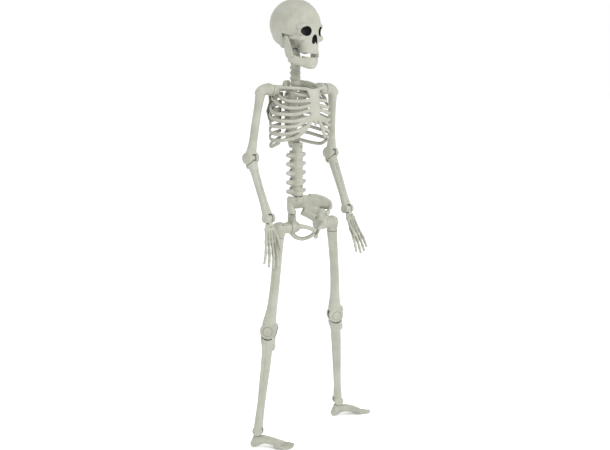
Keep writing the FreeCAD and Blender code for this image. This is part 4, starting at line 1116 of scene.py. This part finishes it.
def area_light(name, place, target, size, watts):
    data = bpy.data.lights.new(name, "AREA")
    data.shape = "DISK"
    data.size = size
    data.energy = watts
    lamp = bpy.data.objects.new(name, data)
    lamp.location = place
    lamp.rotation_euler = (Vector(target) - Vector(place)).to_track_quat("-Z", "Y").to_euler()
    bpy.context.scene.collection.objects.link(lamp)


def build_stage():
    form = bmesh.new()
    bmesh.ops.create_grid(form, x_segments=2, y_segments=2, size=30)
    floor = as_object(form, "floor")
    floor.data.materials.append(material("floor"))
    floor.data.transform(Matrix.Translation((0, 0, -0.0005)))
    scene = bpy.context.scene
    world = bpy.data.worlds.new("studio_white")
    scene.world = world
    world.use_nodes = True
    sky = world.node_tree.nodes["Background"]
    sky.inputs["Color"].default_value = (1, 1, 1, 1)
    sky.inputs["Strength"].default_value = 1.0
    middle = point("waist_turn")
    area_light("key", middle + Vector((-1.4, -2.6, 2.2)), middle, 1.6, 52)
    area_light("fill", middle + Vector((2.4, -2.0, 1.0)), middle, 2.0, 17)
    data = bpy.data.cameras.new("camera")
    data.lens = CAMERA_LENS
    data.sensor_width = 36
    data.clip_end = 200
    camera = bpy.data.objects.new("camera", data)
    turn, dip = math.radians(CAMERA_HEADING), math.radians(CAMERA_PITCH)
    camera.location = middle + CAMERA_FROM_WAIST
    look = Vector((math.sin(turn) * math.cos(dip), math.cos(turn) * math.cos(dip), -math.sin(dip)))
    camera.rotation_euler = look.to_track_quat("-Z", "Y").to_euler()
    scene.collection.objects.link(camera)
    scene.camera = camera
    scene.view_settings.view_transform = "Standard"


# ----------------------------------------------------------------------------------------------
# Operators and panel
# ----------------------------------------------------------------------------------------------

class SKELETON_OT_head(bpy.types.Operator):
    """Builds the skull, its hanging loop, the jaw and the neck"""
    bl_idname = "skeleton.head"
    bl_label = "Head and Neck"

    def execute(self, context):
        build_skull()
        build_loop()
        build_jaw()
        build_neck()
        return {"FINISHED"}


class SKELETON_OT_spine(bpy.types.Operator):
    """Builds the loin part of the spine"""
    bl_idname = "skeleton.spine"
    bl_label = "Spine"

    def execute(self, context):
        build_spine()
        return {"FINISHED"}


class SKELETON_OT_rib_cage(bpy.types.Operator):
    """Builds the ribs, breastbone, collar bones, shoulder blades and upper spine"""
    bl_idname = "skeleton.rib_cage"
    bl_label = "Rib Cage"

    def execute(self, context):
        build_rib_cage()
        return {"FINISHED"}


class SKELETON_OT_pelvis(bpy.types.Operator):
    """Builds the pelvis"""
    bl_idname = "skeleton.pelvis"
    bl_label = "Pelvis"

    def execute(self, context):
        build_pelvis()
        return {"FINISHED"}


class SKELETON_OT_arms(bpy.types.Operator):
    """Builds the upper arms, forearms and hands"""
    bl_idname = "skeleton.arms"
    bl_label = "Arms and Hands"

    def execute(self, context):
        for side in SIDES:
            build_upper_arm(side)
            build_forearm(side)
            build_hand(side)
        return {"FINISHED"}


class SKELETON_OT_legs(bpy.types.Operator):
    """Builds the hip necks, thighs, shins and feet"""
    bl_idname = "skeleton.legs"
    bl_label = "Legs and Feet"

    def execute(self, context):
        for side in SIDES:
            build_hip_neck(side)
            build_thigh(side)
            build_shin(side)
            build_foot(side)
        return {"FINISHED"}


class SKELETON_OT_pins(bpy.types.Operator):
    """Finishes the steel pins, screws and axles"""
    bl_idname = "skeleton.pins"
    bl_label = "Pins and Screws"

    def execute(self, context):
        paint_pins()
        return {"FINISHED"}


class SKELETON_OT_stage(bpy.types.Operator):
    """Sets up the floor, the lights and the camera"""
    bl_idname = "skeleton.stage"
    bl_label = "Stage"

    def execute(self, context):
        build_stage()
        return {"FINISHED"}


OPERATORS = (SKELETON_OT_head, SKELETON_OT_spine, SKELETON_OT_rib_cage, SKELETON_OT_pelvis,
             SKELETON_OT_arms, SKELETON_OT_legs, SKELETON_OT_pins, SKELETON_OT_stage)


class SKELETON_PT_panel(bpy.types.Panel):
    bl_idname = "SKELETON_PT_panel"
    bl_label = "Skeleton Figure"
    bl_space_type = "VIEW_3D"
    bl_region_type = "UI"
    bl_category = "Skeleton"

    def draw(self, context):
        for group in (context.scene.skeleton_sizes, context.scene.skeleton_finish):
            box = self.layout.box()
            for name in group.bl_rna.properties.keys():
                if name not in ("rna_type", "name"):
                    box.prop(group, name)
        for operator in OPERATORS:
            self.layout.operator(operator.bl_idname)


CLASSES = (SkeletonSizes, SkeletonFinish) + OPERATORS + (SKELETON_PT_panel,)


def register():
    for made in CLASSES:
        bpy.utils.register_class(made)
    bpy.types.Scene.skeleton_sizes = bpy.props.PointerProperty(type=SkeletonSizes)
    bpy.types.Scene.skeleton_finish = bpy.props.PointerProperty(type=SkeletonFinish)


def unregister():
    del bpy.types.Scene.skeleton_finish
    del bpy.types.Scene.skeleton_sizes
    for made in reversed(CLASSES):
        bpy.utils.unregister_class(made)


def main():
    register()
    for name in ("head", "spine", "rib_cage", "pelvis", "arms", "legs", "pins", "stage"):
        getattr(bpy.ops.skeleton, name)()


if __name__ == "__main__":
    main()
